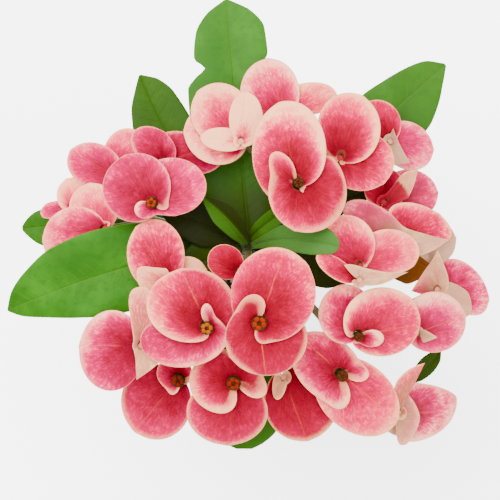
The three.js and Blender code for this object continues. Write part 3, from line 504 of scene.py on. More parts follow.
def outline_reach(bloom, bract, swing):
    """Distance from the neck to the ring of places, joined by a curve that is sharp where they are."""
    ring, sharp = outline_ring(bloom, bract)
    pull = np.where(sharp, 0.0, 0.5)[:, None] * (np.roll(ring, -1, 0) - np.roll(ring, 1, 0))
    ends = np.roll(ring, -1, 0), np.roll(pull, -1, 0)
    curve = np.concatenate([cubic_join(ring, pull, *ends, t) for t in np.linspace(0, 1, 16, endpoint=False)])
    turn = swings_of(curve, bract)
    order = np.argsort(turn)
    return np.interp(swing, turn[order], np.linalg.norm(curve, axis=1)[order], period=360)


def oval_with_lobes(bloom, bract, swing):
    """Distance from the neck to the oval, with its lobes, its tip and its point drawn out."""
    lobe = np.where(swing > 0, *bract["lobes"])
    bump = lobe * np.exp(-(((np.abs(swing) - bract["lobe_at"]) / bract["lobe_width"]) ** 2))
    tip = TIP_LENGTH * np.exp(-((swing / TIP_WIDTH) ** 2))
    return oval_reach(bloom, bract, bract["sinus"] + 180 + swing) + bump + tip


def drawn_to_point(bract, swing):
    direction, out = bract["point"]
    apart = (bract["sinus"] + 180 + swing - direction + 180) % 360 - 180
    return out * np.exp(-np.abs(apart) / POINT_WIDTH)


def rounded_at_notch(bloom, reach, swing):
    past = np.clip((np.abs(swing) - LOBE_START) / (LOBE_END - LOBE_START), 0, 1)
    neck = neck_radius(bloom)
    return neck + np.maximum(reach - neck, LEAST_REACH) * np.sqrt(1 - LOBE_ROUNDING * past**3)


def bract_reach(bloom, bract, swing):
    if "outline" in bract:
        return rounded_at_notch(bloom, outline_reach(bloom, bract, swing), swing)
    return rounded_at_notch(bloom, oval_with_lobes(bloom, bract, swing), swing) + drawn_to_point(bract, swing)


def column_swings(bloom, bract, columns):
    """Directions of the grid's columns: partly even in angle, partly even along the edge."""
    turn = oval_turn(bloom, bract)
    trial = LOBE_END * (np.arange(85) / 42 - 1)
    middle = bract["sinus"] + 180
    reach = np.maximum(oval_reach(bloom, bract, middle + trial), NECK_RADIUS + LEAST_REACH)
    angle = np.radians(middle + trial) - turn
    a, b = bract["half"]
    corners = np.stack([reach * np.cos(angle) / a, reach * np.sin(angle) / b], -1)
    run = np.concatenate([[0], np.cumsum(np.linalg.norm(np.diff(corners, axis=0), axis=1) + 0.02)])
    share = np.linspace(0, 1, columns + 1)
    along_edge = np.interp(share * run[-1], run, trial)
    swing = along_edge + (LOBE_END * (2 * share - 1) - along_edge) * ANGLE_SHARE
    swing = np.concatenate([[swing[0], swing[0] + 0.9], swing[1:-1], [swing[-1] - 0.9, swing[-1]]])
    if "outline" in bract:
        ring, is_sharp = outline_ring(bloom, bract)
        for sharp in swings_of(ring[is_sharp], bract):
            swing[2 + np.argmin(np.abs(swing[2:-2] - sharp))] = sharp
    return swing


def lies_on_top(bloom, order, side):
    """Whether a bract's lobe, on side 1 or -1 of its notch, lies over the other bract."""
    return side == bloom["over"] if bloom["over"] else order == 0


def bract_height(bloom, bract, order, r, swing, share):
    depth = FUNNEL_DEPTH * (YOUNG_DEPTH if "young" in bloom else 1)
    funnel = depth * (1 - np.exp(-r / FUNNEL_REACH))
    roll = -RIM_ROLL * min(bract["half"]) * share**4
    pitch = bract["pitch"] * r * np.maximum(np.cos(np.radians(swing)), 0)
    if bloom["over"]:
        stack = np.sin(np.radians(swing) / 2) * bloom["over"]
    else:
        stack = order if "on_top" in bract else -order
    return funnel + roll + pitch + (OVERLAP_AT_NECK + OVERLAP_SLOPE * r) * stack


def bloom_slope(bloom):
    return -bloom["neck"] / CROWN_CURVE


def neck_place(bloom):
    """The neck's place over the crown's dome."""
    x, y = bloom["neck"]
    return np.array([x, y, bloom["level"] - (x * x + y * y) / (2 * CROWN_CURVE)])


print("widest bract:", max(max(r["half"]) for b in BLOOMS.values() for r in b["bracts"]) * 2, "mm")

# %% [markdown]
# ## Living relief on the bracts
#
# A real bract isn't a smooth dish. Its margin waves a little, a shallow groove follows the
# midrib, and the margin that lies on top at the notch curls up into a lip. These are small
# heights added to the rule above, different for each bract through a seeded draw.

# %% Bract grids
BRACT_THICKNESS = 0.5
BRACT_COLUMNS = 76
BRACT_RINGS = 18
WAVE = 0.028
FINE_WAVE = 0.012
DISH = 0.035
GROOVE_DEPTH = 0.32
GROOVE_WIDTH = 0.8
LIP_ON_TOP = 1.5
LIP_BELOW = 0.25
LIP_WIDTH = 13.0


def bract_relief(bloom, bract, order, r, swing, share, rib_turn, draw):
    size = min(bract["half"])
    phase, phase2 = draw.uniform(0, 2 * math.pi, 2)
    turn = np.radians(swing)
    wave = WAVE * share**3 * np.sin(5 * turn + phase) + FINE_WAVE * share**4 * np.sin(11 * turn + phase2)
    across = r * np.sin(turn - rib_turn)
    front = np.cos(turn - rib_turn) > 0
    groove = -GROOVE_DEPTH * np.exp(-((across / GROOVE_WIDTH) ** 2)) * front * np.clip(share * 4, 0, 1)
    dish = -DISH * size * np.sin(math.pi * share)
    lip = 0
    for side in (-1, 1):
        near = np.exp(-(((LOBE_END - side * swing) / LIP_WIDTH) ** 2))
        curl = LIP_ON_TOP if lies_on_top(bloom, order, side) else LIP_BELOW
        lip = lip + curl * near * np.clip(share * 1.6, 0, 1)
    return size * wave + groove + dish + lip


def lobe_paleness(bloom, bract, order, swing, share):
    """The lobes beside the notch are paler than the rest, most of all on the side on top."""
    pale = 0
    for side, lobe in zip((1, -1), bract["lobes"]):
        strength = 0.45 * min(abs(lobe) / 4, 1) + 0.22 * lies_on_top(bloom, order, side)
        pale = pale + strength * soft_step((side * swing - 100) / 62)
    return pale * np.clip(share * 1.5 - 0.2, 0, 1)


def lobe_breadth(bloom, order, swing):
    """The cream margin broadens on the lobe that lies on top."""
    upper = swing * bloom["over"] if bloom["over"] else np.abs(swing) * (order == 0)
    return 1 + 1.8 * np.clip((upper - 95) / 60, 0, 1)


def bract_grid(bloom, bract, order, draw):
    """The upper face as rings of points round the neck, with the marks and the map that its skin reads."""
    swing = column_swings(bloom, bract, BRACT_COLUMNS - 2)
    neck = neck_radius(bloom)
    reach = bract_reach(bloom, bract, swing)
    share = np.linspace(0, 1, BRACT_RINGS - 1) ** 0.85
    share = np.concatenate([share[:-1], [0.984, 1.0]])[:, None]
    r = neck + (reach - neck) * share
    swing, share = np.broadcast_to(swing, r.shape), np.broadcast_to(share, r.shape)
    angle = np.radians(bract["sinus"] + 180 + swing)
    x, y = r * np.cos(angle), r * np.sin(angle)
    slope = bloom_slope(bloom)
    rib_turn = math.radians(bract.get("rib_to", bract["sinus"] + 180) - bract["sinus"] - 180)
    z = slope[0] * x + slope[1] * y + bract_height(bloom, bract, order, r, swing, share)
    z = z + bract_relief(bloom, bract, order, r, swing, share, rib_turn, draw)

    def facing(direction):
        return np.cos(angle - math.radians(direction))

    fade_to, fade_by = bract["fade"]
    back_to, back_by = bract["back_to"]
    fading = 0.7 * fade_by * share**1.7 * np.maximum(facing(fade_to) + 0.2, 0)
    from_edge = np.minimum(reach - r, np.radians(LOBE_END - np.abs(swing)) * r)
    rib_swing = np.radians(swing) - rib_turn
    marks = {
        "run": bract["light"] + share * 0.96 + fading + lobe_paleness(bloom, bract, order, swing, share),
        "rim": from_edge / (bract["edge"] * lobe_breadth(bloom, order, swing)) + 9.0 * (r < bract["fold_at"] + 0.5),
        "across": r * np.sin(rib_swing) + 50 * (np.cos(rib_swing) < 0),
        "back": np.clip(bract["back"] + back_by * (0.3 + share) * facing(back_to), 0, 1)
        * np.clip((r - bract["fold_at"]) / 0.6, 0, 1),
    }
    return np.stack([x, y, z], -1) + neck_place(bloom), marks, np.stack([swing / 60.0, r / 12.0], -1)


def bract_piece(name, bloom):
    draw = np.random.default_rng(sum(map(ord, name)) * 7)
    slope = math.hypot(*bloom_slope(bloom))
    parts, start = [], 0
    for order, bract in enumerate(bloom["bracts"]):
        grid, marks, uv = bract_grid(bloom, bract, order, draw)
        thickness = BRACT_THICKNESS * math.hypot(1, slope + bract["pitch"])
        points, faces, source, side = blade_mesh(grid, thickness)
        marks = {mark: values.ravel()[source] for mark, values in marks.items()}
        marks["under"] = side
        for mark in ("flush", "rib", "rose", "dust"):
            marks[mark] = np.full(len(points), bract[mark])
        marks["shift"] = np.full(len(points), draw.uniform(0, 40))
        parts.append((crown_to_row(points), faces + start, marks, uv.reshape(-1, 2)[source]))
        start += len(points)
    points, faces, marks, uvs = zip(*parts)
    marks = {mark: np.concatenate([own[mark] for own in marks]) for mark in marks[0]}
    return mesh_from(name, np.vstack(points), np.vstack(faces).tolist(), marks, np.vstack(uvs))


bract_pieces = {name: bract_piece(name + "_bracts", bloom) for name, bloom in BLOOMS.items()}
print("bract faces:", sum(len(p.data.polygons) for p in bract_pieces.values()))

# %% [markdown]
# ## Leaves
#
# Each leaf grows along a curved midrib and widens and narrows along it. The table gives the
# midrib's start, bend and end, and how far its halves `fold` up. `half` gives places along it,
# each with the half widths to its left and right. A leaf's two halves rise from the midrib in
# a shallow V, then turn down again at the margin, which waves a little.
#
# Leaves near the light are a clear green, and the part of a leaf that lies under the crown is
# dark olive. `light` says how shaded a leaf is as a whole, how shaded near the stem, and how
# young and yellowish its green is. `shut` gives the painted shade on the inner half of a
# leaf still folded along its midrib, `wax` a greyer, paler green painted as the sheen
# of its skin, `dark` a leaf in the shade of the crown, and `old` the leaf that turns brown from
# its tip before it falls.

# %% Leaf table
LEAF_TABLE = """
leaf_top -0.5 6.6 -15, -6 60 -14, -12 127 -28 fold 0.12 light 0 0.5 0 wax 0.3
  half 0 3 3, 0.06 11 9, 0.14 17 15, 0.24 21 17, 0.45 24 18, 0.66 23.5 19, 0.71 18.5 18.5, 0.74 14 16, 0.78 19 18.5,
    0.88 17 18, 0.95 11 12, 1 1 1
leaf_upper_left -5.4 7.6 -26.2, -38 45 -28, -56 89 -34 fold 0.15 light 0.36 0.7 0
  half 0 1.5 1.5, 0.2 7 7, 0.45 13 13, 0.68 16 14, 0.84 11.5 12.5, 0.94 5 8, 1 0.6 0.6
leaf_left_big -6.6 2.1 -26.1, -59 -3 8, -122.5 -30.5 -22 fold 0.08 light 0 0.5 0
  half 0 1.5 1.5, 0.12 6 8, 0.3 6 17, 0.4 14 20, 0.48 22 21.5, 0.62 21 22.5, 0.76 16.6 21, 0.88 10.6 15, 0.96 5.5 8,
    1 0.6 0.6
leaf_left_small -11.3 4 -46, -60 18 -46, -117 11 -54 fold 0.1 light 0.15 0.4 0
  half 0 1.5 1.5, 0.3 6 6, 0.65 13 9.5, 0.82 13 10.5, 0.93 9 8, 0.98 4 4, 1 1 1
leaf_upper_right 2.9 7.5 -34.4, 50 50 -36, 100 95 -48 fold 0.1 light 0.18 0.5 0 wax 0.35
  half 0 1.5 1.5, 0.2 9 9, 0.45 16 17, 0.68 16.7 19.5, 0.78 15 18.5, 0.87 12.5 13.5, 0.95 8.4 6, 1 0.8 0.8
leaf_right_small 0.7 1.9 -9, 20 9 14, 44 1.5 20 fold 0.15 light 0 0.3 0 wax 0.9
  half 0 1.6 1.6, 0.2 4 3.5, 0.45 8 6, 0.7 9 7, 0.88 7 5.5, 0.96 4.5 4, 1 1.5 1.5
leaf_heart_left -1.6 2.8 -8.6, -9 15 2, -23.5 26 6 fold 0.4 light 0.12 0.3 0.9 shut 1
  half 0 1.8 1.8, 0.3 5 5, 0.6 6 6, 0.85 3.5 3.5, 1 0.5 0.5
leaf_heart_right -0.3 5.4 -9, 8 14 -1, 20 21 3 fold 0.35 light 0.2 0.45 0.9
  half 0 1.8 1.8, 0.3 4 4, 0.65 4.6 4.6, 0.9 2.4 2.4, 1 0.5 0.5
leaf_inner_left -4.1 4.4 -13.2, -20 13 -4, -44 18 -8 fold 0.2 light 0.85 0.9 0 dark
  half 0 1.4 1.4, 0.25 7 7, 0.5 11 11, 0.8 8 8, 1 0.8 0.8
leaf_inner_low -4 0.5 -15, -18 -3 -9, -37 -11 -7 fold 0.15 light 0.5 0.6 0 dark
  half 0 1.4 1.4, 0.25 7 7, 0.55 11.5 11, 0.85 7 7, 1 0.8 0.8
leaf_inner_right 1.8 1.5 -18.2, 24 -4 -10, 50 -16 -16 fold 0.12 light 0.7 0.8 0 dark
  half 0 1.5 1.5, 0.25 7 7, 0.55 10 10, 0.82 8 8, 1 0.8 0.8
leaf_back_right 1.8 5.8 -20.5, 28 26 -12, 62 28 -19 fold 0.12 light 0.8 0 0 dark
  half 0 1.5 1.5, 0.25 7 7, 0.55 10 10, 0.82 7 7, 1 0.8 0.8
leaf_right_low 4.6 3 -42, 52 14 -44, 95 -11 -50 fold 0.1 light 0.75 0.8 0 dark old
  half 0 1.5 1.5, 0.3 6 6, 0.65 10 13, 0.88 11.5 13, 1 0.8 0.8
leaf_bottom -1 -1.6 -34.3, -3 -50 -30, -3 -102 -50 fold 0.08 light 0.2 0.5 0.4
  half 0 1.5 1.5, 0.2 8 8, 0.5 17 17, 0.78 20 20, 0.9 17 17, 0.97 10 10, 1 4 4
leaf_lower_right 5.7 -4.6 -48, 50 -115 -50, 98 -51.5 -58 fold 0.1 light 0.42 0.6 0 dark
  half 0 1.2 1.2, 0.4 1.6 1.6, 0.72 1.6 1.6, 0.84 1.9 1.9, 0.88 3.8 3.6, 0.93 4.9 4.4, 0.97 3.7 3.5, 1 0.6 0.6
"""


def read_leaves(text):
    leaves = {}
    for word, numbers in read_table(text):
        if word.startswith("leaf_"):
            leaf = leaves[word] = {"midrib": np.reshape(numbers, (3, 3))}
        elif word == "half":
            leaf["half"] = np.reshape(numbers, (-1, 3)).T
        else:
            leaf[word] = plain_value(numbers)
    return leaves


LEAVES = read_leaves(LEAF_TABLE)
print("leaves:", len(LEAVES))

# %% Leaf blades
LEAF_THICKNESS = 0.6
LEAF_ROWS = 72
LEAF_COLUMNS = 28
CAMBER = 0.07
RIPPLE = 0.035
RIPPLE_LENGTH = 7.5
MIDRIB_DEPTH = 0.35
MIDRIB_WIDTH = 0.9


def leaf_marks(leaf, along, across, edge, length):
    """The numbers that the leaf's skin reads at every point."""
    shade, stem_shade, fresh = leaf["light"]
    shade = np.maximum(shade, stem_shade * soft_step(1.15 - along * 2.2))
    # A leaf still folded along its midrib gets painted shade on its inner half.
    if "shut" in leaf:
        shade = np.maximum(shade, 0.8 * np.clip(-across * leaf["shut"] / 1.2, 0, 1))
    every = np.ones(len(along))
    return {
        "along": along, "across": across, "edge": edge, "length": length * every, "shade": shade,
        "fresh": fresh * every, "wax": leaf.get("wax", 0.0) * every,
        "old": np.clip(along * 3 - 1.9, 0, 1) * ("old" in leaf),
    }


def leaf_piece(name, leaf):
    draw = np.random.default_rng(sum(map(ord, name)) * 3)
    start, bend, end = leaf["midrib"]
    place = np.concatenate([[0, 0.004], np.linspace(0.012, 0.988, LEAF_ROWS - 4), [0.996, 1]])
    places, lefts, rights = leaf["half"]
    left, right = (smooth_between(place, places, widths)[:, None] for widths in (lefts, rights))
    t = place[:, None]
    centre = (1 - t) ** 2 * start + 2 * t * (1 - t) * bend + t * t * end
    along = 2 * (1 - t) * (bend - start) + 2 * t * (end - bend)
    sideways = unit(np.stack([-along[:, 1], along[:, 0]], -1))
    u = np.linspace(-1, 1, LEAF_COLUMNS - 1)
    u = np.sign(u) * np.abs(u) ** 1.15
    u = np.concatenate([[-1, -0.985], u[1:-1], [0.985, 1]])
    half = np.where(u < 0, right, left)
    grid = np.repeat(centre[:, None, :], len(u), axis=1)
    grid[..., :2] += sideways[:, None, :] * (u * half)[..., None]
    length = np.linalg.norm(np.diff(centre, axis=0), axis=1).sum()
    rise = leaf["fold"] * half * (np.sqrt(u * u + 0.012) - 0.11)
    camber = -CAMBER * half * u**4
    ripple = np.sin(t * length / RIPPLE_LENGTH + draw.uniform(0, 6) + np.where(u < 0, 1.7, 0))
    groove = -MIDRIB_DEPTH * np.exp(-((u * half / MIDRIB_WIDTH) ** 2)) * (1 - t) ** 0.5
    grid[..., 2] += rise + camber + RIPPLE * half * np.abs(u) ** 3 * ripple + groove
    points, faces, source, side = blade_mesh(grid, LEAF_THICKNESS * math.hypot(1, leaf["fold"] + 0.25))
    t, across, edge = (
        np.broadcast_to(v, half.shape).ravel()[source] for v in (t, u * half, (1 - np.abs(u)) * half)
    )
    marks = {**leaf_marks(leaf, t, across, edge, length), "under": side}
    uv = np.stack([t * length / 10, across / 10], -1)
    return mesh_from(name, crown_to_row(points), faces.tolist(), marks, uv)


leaf_pieces = {name: leaf_piece(name + "_blade", leaf) for name, leaf in LEAVES.items()}
print("leaf faces:", sum(len(p.data.polygons) for p in leaf_pieces.values()))

# %% [markdown]
# ## Tools for colour
#
# A skin's colours are reckoned from numbers that change over its surface. `Shade` wraps one
# such number or colour, so sums and products can be written as ordinary arithmetic, and each
# sign makes one math node. `fade` is a soft step from 0 to 1, `tint` mixes two colours, and
# `look_up` is a colour ramp.
#
# The bigger effects are node groups with named inputs and outputs: `start_group` opens one,
# `end_group` joins its results, and `group_skin` places it in a material that hands it the
# marks kept on the piece. `speckled_skin` makes the plainer skins, which need one noise.

# %% Colour tools
class Shade:
    def __init__(self, socket):
        self.socket = socket

    def __add__(self, other):
        return calc("ADD", self, other)

    def __sub__(self, other):
        return calc("SUBTRACT", self, other)

    def __mul__(self, other):
        return calc("MULTIPLY", self, other)

    def __truediv__(self, other):
        return calc("DIVIDE", self, other)

    def __pow__(self, other):
        return calc("POWER", self, other)

    def __abs__(self):
        return calc("ABSOLUTE", self)


def shade_node(kind, inputs, result=0, **settings):
    """A node in the tree that its inputs come from, and one of its outputs."""
    tree = next(v.socket.id_data for v in inputs.values() if isinstance(v, Shade))
    return Shade(output_of(tree, kind, inputs, result, **settings))


def calc(operation, *values):
    return shade_node("ShaderNodeMath", dict(enumerate(values)), operation=operation)


def fade(value, start, end):
    low, high = (0, 1) if start < end else (1, 0)
    limits = {1: min(start, end), 2: max(start, end), 3: low, 4: high}
    return shade_node("ShaderNodeMapRange", {0: value, **limits}, interpolation_type="SMOOTHSTEP")


def tint(amount, first, second, blend="MIX"):
    inputs = {0: amount, 6: first, 7: second}
    return shade_node("ShaderNodeMix", inputs, 2, data_type="RGBA", blend_type=blend)


def look_up(value, stops):
    made = shade_node("ShaderNodeValToRGB", {0: value})
    elements = made.socket.node.color_ramp.elements
    while len(elements) < len(stops):
        elements.new(0.5)
    for element, (place, color) in zip(elements, stops):
        element.position, element.color = place, (*color, 1)
    return made


def noise(vector, scale, detail=3.0, roughness=0.55, distortion=0.0):
    inputs = {"Vector": vector, "Scale": scale, "Detail": detail, "Roughness": roughness, "Distortion": distortion}
    return shade_node("ShaderNodeTexNoise", inputs)


def stretch(vector, scale, shift=(0, 0, 0)):
    return shade_node("ShaderNodeMapping", {"Vector": vector, "Scale": scale, "Location": shift})


def start_material(name, roughness=0.5, specular=0.5, **constants):
    """A new material, its tree, and the inputs of its shader."""
    made = bpy.data.materials.new(name)
    made.use_nodes = True
    shader = made.node_tree.nodes["Principled BSDF"].inputs
    constants = {"Roughness": roughness, "Specular IOR Level": specular, **constants}
    for label, value in constants.items():
        shader[label.replace("_", " ")].default_value = value
    return made, made.node_tree, shader


def mark_of(tree, mark):
    """A number kept on the points of the piece."""
    kept = {"attribute_name": mark, "attribute_type": "GEOMETRY"}
    return Shade(output_of(tree, "ShaderNodeAttribute", result="Fac", **kept))


def place_of(tree):
    return Shade(output_of(tree, "ShaderNodeTexCoord", result="Object"))


def paint(shader, color, height=None, distance=0.0, strength=1.0):
    """Join a colour to the shader, and a height in the given depth as relief."""
    color.socket.id_data.links.new(color.socket, shader["Base Color"])
    if height:
        relief = shade_node("ShaderNodeBump", {"Strength": strength, "Distance": distance, "Height": height})
        color.socket.id_data.links.new(relief.socket, shader["Normal"])


def speckled_skin(name, roughness, specular, speckle, stops, relief=(), bumps=None):
    """A skin in the colours that one noise picks; `bumps` is a second noise for its relief."""
    skin, tree, shader = start_material(name, roughness, specular)
    place = place_of(tree)
    specks = noise(place, *speckle)
    height = noise(place, *bumps) if bumps else specks
    paint(shader, look_up(specks, stops), height if relief else None, *relief)
    return skin


def start_group(name, *inputs):
    """A group whose first input is a vector and the others values."""
    tree = bpy.data.node_groups.new(name, "ShaderNodeTree")
    for k, label in enumerate(inputs):
        kind = "NodeSocketFloat" if k else "NodeSocketVector"
        tree.interface.new_socket(label.capitalize(), in_out="INPUT", socket_type=kind)
    for label, kind in (("Color", "Color"), ("Height", "Float"), ("Roughness", "Float")):
        tree.interface.new_socket(label, in_out="OUTPUT", socket_type="NodeSocket" + kind)
    given = tree.nodes.new("NodeGroupInput").outputs
    return tree, [Shade(given[label.capitalize()]) for label in inputs]


def end_group(tree, *results):
    ends = tree.nodes.new("NodeGroupOutput").inputs
    for end, result in zip(ends, results):
        tree.links.new(result.socket, end)


def group_skin(name, group, find_place, distance, strength, **constants):
    skin, tree, shader = start_material(name, **constants)
    labels = [item.name for item in group.interface.items_tree if item.in_out == "INPUT"]
    inputs = {label: mark_of(tree, label.lower()) for label in labels[1:]}
    seen = place_node(tree, "ShaderNodeGroup", node_tree=group)
    for label, value in {labels[0]: find_place(tree), **inputs}.items():
        tree.links.new(value.socket, seen.inputs[label])
    tree.links.new(seen.outputs["Roughness"], shader["Roughness"])
    paint(shader, Shade(seen.outputs["Color"]), Shade(seen.outputs["Height"]), distance, strength)
    return skin


print("colour tools ready")

# %% [markdown]
# ## Colour of a bract
#
# On the plant the red pigment is strongest at the neck and thins out towards the margin, where
# the cream ground shows through. It is laid down cell by cell, so the change is grainy and runs
# along the fine veins that radiate from the neck. So the ramp from crimson to cream is driven
# by the distance from the neck, shaken by three noises: broad clouds, a fine grain, and narrow
# fingers of red that follow the veins into the cream. The margin itself is bare cream, and the
# underside is cream with a blush.

# %% Bract material
bract_colors, given = start_group(
    "bract_colors", "veins", "run", "rim", "across", "flush", "rib", "rose", "dust", "back", "under", "shift")
veins, run, rim, across, flush, rib, rose, dust, turned, under, shift = given
away = shade_node("ShaderNodeCombineXYZ", {0: shift, 1: shift, 2: shift})


def vein_noise(scale, *settings):
    return noise(stretch(veins, scale, away), *settings)


cloud = vein_noise((1.7, 1.1, 1.0), 1.6, 2.0)
streak = vein_noise((9.0, 1.9, 1.0), 2.4, 5.0, 0.65, 0.6)
grain = vein_noise((7.0, 6.0, 1.0), 2.7, 4.0, 0.7)
fingers = streak**3.2 - 0.11
shaken = run + (cloud - 0.5) * 0.8 + (grain - 0.5) * 0.25 - fingers * 1.5
reach = shaken / (flush * 1.5)
face = look_up(reach, [
    (0.00, (0.092, 0.000, 0.003)), (0.16, (0.135, 0.000, 0.005)), (0.32, (0.205, 0.000, 0.013)),
    (0.45, (0.290, 0.000, 0.025)), (0.57, (0.410, 0.001, 0.040)), (0.67, (0.570, 0.025, 0.062)),
    (0.80, (0.680, 0.110, 0.092)), (0.98, (0.720, 0.280, 0.145)),
])
rib_line = fade(abs(across + (cloud - 0.5) * 1.1), 0.62, 0.05)
rib_line = rib_line * fade(run, 0.12, 0.4) * rib * fade(streak, 0.3, 0.6)
face = tint(rib_line, face, (0.46, 0.070, 0.020))
margin = fade(vein_noise((0.9, 0.3, 1.0), 1.0, 1.0), 0.38, 0.66) * 1.9 + 0.45
bare = fade(rim / margin + (grain - 0.5) * 1.6, 1.6, -0.2)
veiny = fade(abs(streak - 0.5), 0.08, 0.0)
flushed = fade(reach, 0.62, 0.95) * -0.8 + 1.0
face = tint(veiny * fade(grain, 0.38, 0.62) * flushed * 0.65, face, (0.130, 0.000, 0.008))
cells = vein_noise((15.0, 9.0, 1.0), 3.4, 2.0, 0.6)
face = tint(fade(cells, 0.54, 0.70) * flushed * 0.55, face, (0.240, 0.000, 0.020))
face = tint(rose, face, (0.97, 1.3, 1.6), "MULTIPLY")
cream = tint(rose, (0.70, 0.30, 0.135), (0.60, 0.185, 0.120))
face = tint(bare * 0.68, face, cream)
face = tint(dust, face, tint(0.5, face, (0.24, 0.055, 0.065)))
back = look_up(streak * 0.5 + cloud * 0.6, [
    (0.40, (0.580, 0.330, 0.150)), (0.55, (0.430, 0.190, 0.095)), (0.70, (0.400, 0.100, 0.070)),
])
back = tint(veiny * 0.5, back, (0.300, 0.110, 0.045))
back = tint(bare * 0.6, back, (0.62, 0.36, 0.17))
back = tint(dust, back, tint(streak, (0.200, 0.120, 0.078), (0.340, 0.185, 0.125)))
back = tint(rib_line, back, (0.180, 0.110, 0.020))
color = tint(calc("MAXIMUM", under, turned), face, back)
end_group(bract_colors, color, grain * 0.5 - veiny * 0.5, grain * 0.16 + 0.42)


def vein_map_of(tree):
    return Shade(output_of(tree, "ShaderNodeUVMap", uv_map="vein_map"))


bract_skin = group_skin(
    "bract_skin", bract_colors, vein_map_of, 0.00035, 0.5,
    specular=0.02, Subsurface_Weight=0.1, Subsurface_Scale=0.002,
)
for name, piece in bract_pieces.items():
    dress(piece, bract_skin, "pale_bract" if "young" in BLOOMS[name] else "bract", name)
print("bracts dressed:", len(bract_pieces))

# %% [markdown]
# ## Colour of a leaf
#
# Leaves are a warm green with a paler, sunken midrib, side veins that leave it at a steep angle
# and curve forward, and a thin yellow-green margin. The surface is a little glossy. Leaves deep
# under the crown get no light and stay dark.

# %% Leaf material
leaf_colors, given = start_group(
    "leaf_colors", "place", "along", "across", "edge", "length", "shade", "fresh", "wax", "old", "under")
place, along, across, edge, length, shade, fresh, wax, old, under = given
away = abs(across)
side_sign = calc("SIGN", across) * 1.35
vein_run = along * length - away**1.12 * 0.55 + side_sign + noise(place, 90.0, 2.0) * 3.0
vein = fade(calc("PINGPONG", vein_run, 2.6), 0.45, 0.0) * fade(away, 15.0, 1.0)
midrib = fade(along * 0.5 + away, 1.15, 0.35)
clouds = noise(place, 38.0, 3.0)
mottle = noise(place, 300.0, 4.0, 0.7)
green = look_up(clouds, [
    (0.30, (0.0080, 0.042, 0.001)), (0.50, (0.0145, 0.071, 0.002)), (0.70, (0.0260, 0.112, 0.005)),
])
for amount, color in (
    (fade(away, 1.0, 10.0) * 0.25, (0.015, 0.080, 0.004)),
    (vein * 0.28, (0.034, 0.105, 0.004)),
    (fade(mottle, 0.48, 0.66) * 0.4, (0.008, 0.046, 0.001)),
    (midrib * 0.55, (0.028, 0.080, 0.004)),
    (fade(edge, 0.8, 0.1) * 0.6, (0.047, 0.105, 0.002)),
    (fresh, (0.019, 0.058, 0.002)),
    # Painted sheen: a greyer, paler green where the glossy skin would reflect the bright sky.
    (wax, (0.0250, 0.0700, 0.0105)),
    (fade(shade, 0.0, 0.6), (0.0125, 0.0210, 0.0006)),
    (fade(shade, 0.55, 1.0), (0.0050, 0.0050, 0.0006)),
    (old, (0.1700, 0.0640, 0.0100)),
    (under * 0.6, (0.030, 0.070, 0.010)),
):
    green = tint(amount, green, color)
relief = noise(place, 900.0, 2.0) * 0.3 - vein * 0.4 - midrib
end_group(leaf_colors, green, relief, clouds * 0.2 + 0.32)

leaf_skin = group_skin("leaf_skin", leaf_colors, place_of, 0.0004, 0.6, specular=0.035)
for name, piece in leaf_pieces.items():
    dress(piece, leaf_skin, "dark_leaf" if "dark" in LEAVES[name] else "leaf", name)
print("leaves dressed:", len(leaf_pieces))

# %% [markdown]
# ## Parts that repeat, and parts that follow a path
#
# Stalks follow a path with a changing thickness, and spines, cups, glands and crumbs of soil
# repeat. Both are jobs for Geometry Nodes. Each tree is built here with named inputs, ends in
# Realize Instances and Set Material, and is then turned into a plain mesh. `run_tree` sets the
# inputs by name before the tree is first worked out. Turned shapes and the stem need no tree:
# they are rings of points with a skin over them.

# %% Geometry Nodes tools
def start_tree(name, **inputs):
    tree = bpy.data.node_groups.new(name, "GeometryNodeTree")
    tree.interface.new_socket("Geometry", in_out="OUTPUT", socket_type="NodeSocketGeometry")
    for label, kind in inputs.items():
        tree.interface.new_socket(label, in_out="INPUT", socket_type="NodeSocket" + kind)
    return tree, tree.nodes.new("NodeGroupInput").outputs


def end_tree(tree, shape, material):
    real = output_of(tree, "GeometryNodeRealizeInstances", {"Geometry": shape})
    painted = output_of(tree, "GeometryNodeSetMaterial", {"Geometry": real, "Material": material})
    tree.links.new(painted, tree.nodes.new("NodeGroupOutput").inputs["Geometry"])
    return tree


def run_tree(piece, tree, **values):
    modifier = piece.modifiers.new(tree.name, "NODES")
    modifier.node_group = tree
    sockets = {s.name: s.identifier for s in tree.interface.items_tree if s.in_out == "INPUT"}
    for label, value in values.items():
        modifier[sockets[label]] = value
    return bake_modifiers(piece)


def named(tree, name, kind="FLOAT"):
    return output_of(tree, "GeometryNodeInputNamedAttribute", {"Name": name}, data_type=kind)


tree, given = start_tree("tube_on_path", Geometry="Geometry", Sides="Int", Material="Material")
path = output_of(tree, "GeometryNodeMeshToCurve", {"Mesh": given["Geometry"]})
ring = output_of(tree, "GeometryNodeCurvePrimitiveCircle", {"Resolution": given["Sides"], "Radius": 1.0})
tube = output_of(tree, "GeometryNodeCurveToMesh", {
    "Curve": path, "Profile Curve": ring, "Scale": named(tree, "width"), "Fill Caps": True})
tube_tree = end_tree(tree, tube, given["Material"])

tree, given = start_tree("shapes_on_points", Geometry="Geometry", Shape="Object", Material="Material")
shape = output_of(tree, "GeometryNodeObjectInfo", {"Object": given["Shape"]}, "Geometry")
aim, size = (named(tree, name, "FLOAT_VECTOR") for name in ("aim", "size"))
turn = output_of(tree, "FunctionNodeAlignRotationToVector", {"Vector": aim}, axis="Z")
spin = output_of(tree, "FunctionNodeAxisAngleToRotation", {"Axis": (0, 0, 1), "Angle": named(tree, "spin")})
turn = output_of(tree, "FunctionNodeRotateRotation", {0: turn, 1: spin}, rotation_space="LOCAL")
put = output_of(tree, "GeometryNodeInstanceOnPoints", {
    "Points": given["Geometry"], "Instance": shape, "Rotation": turn, "Scale": size})
scatter_tree = end_tree(tree, put, given["Material"])


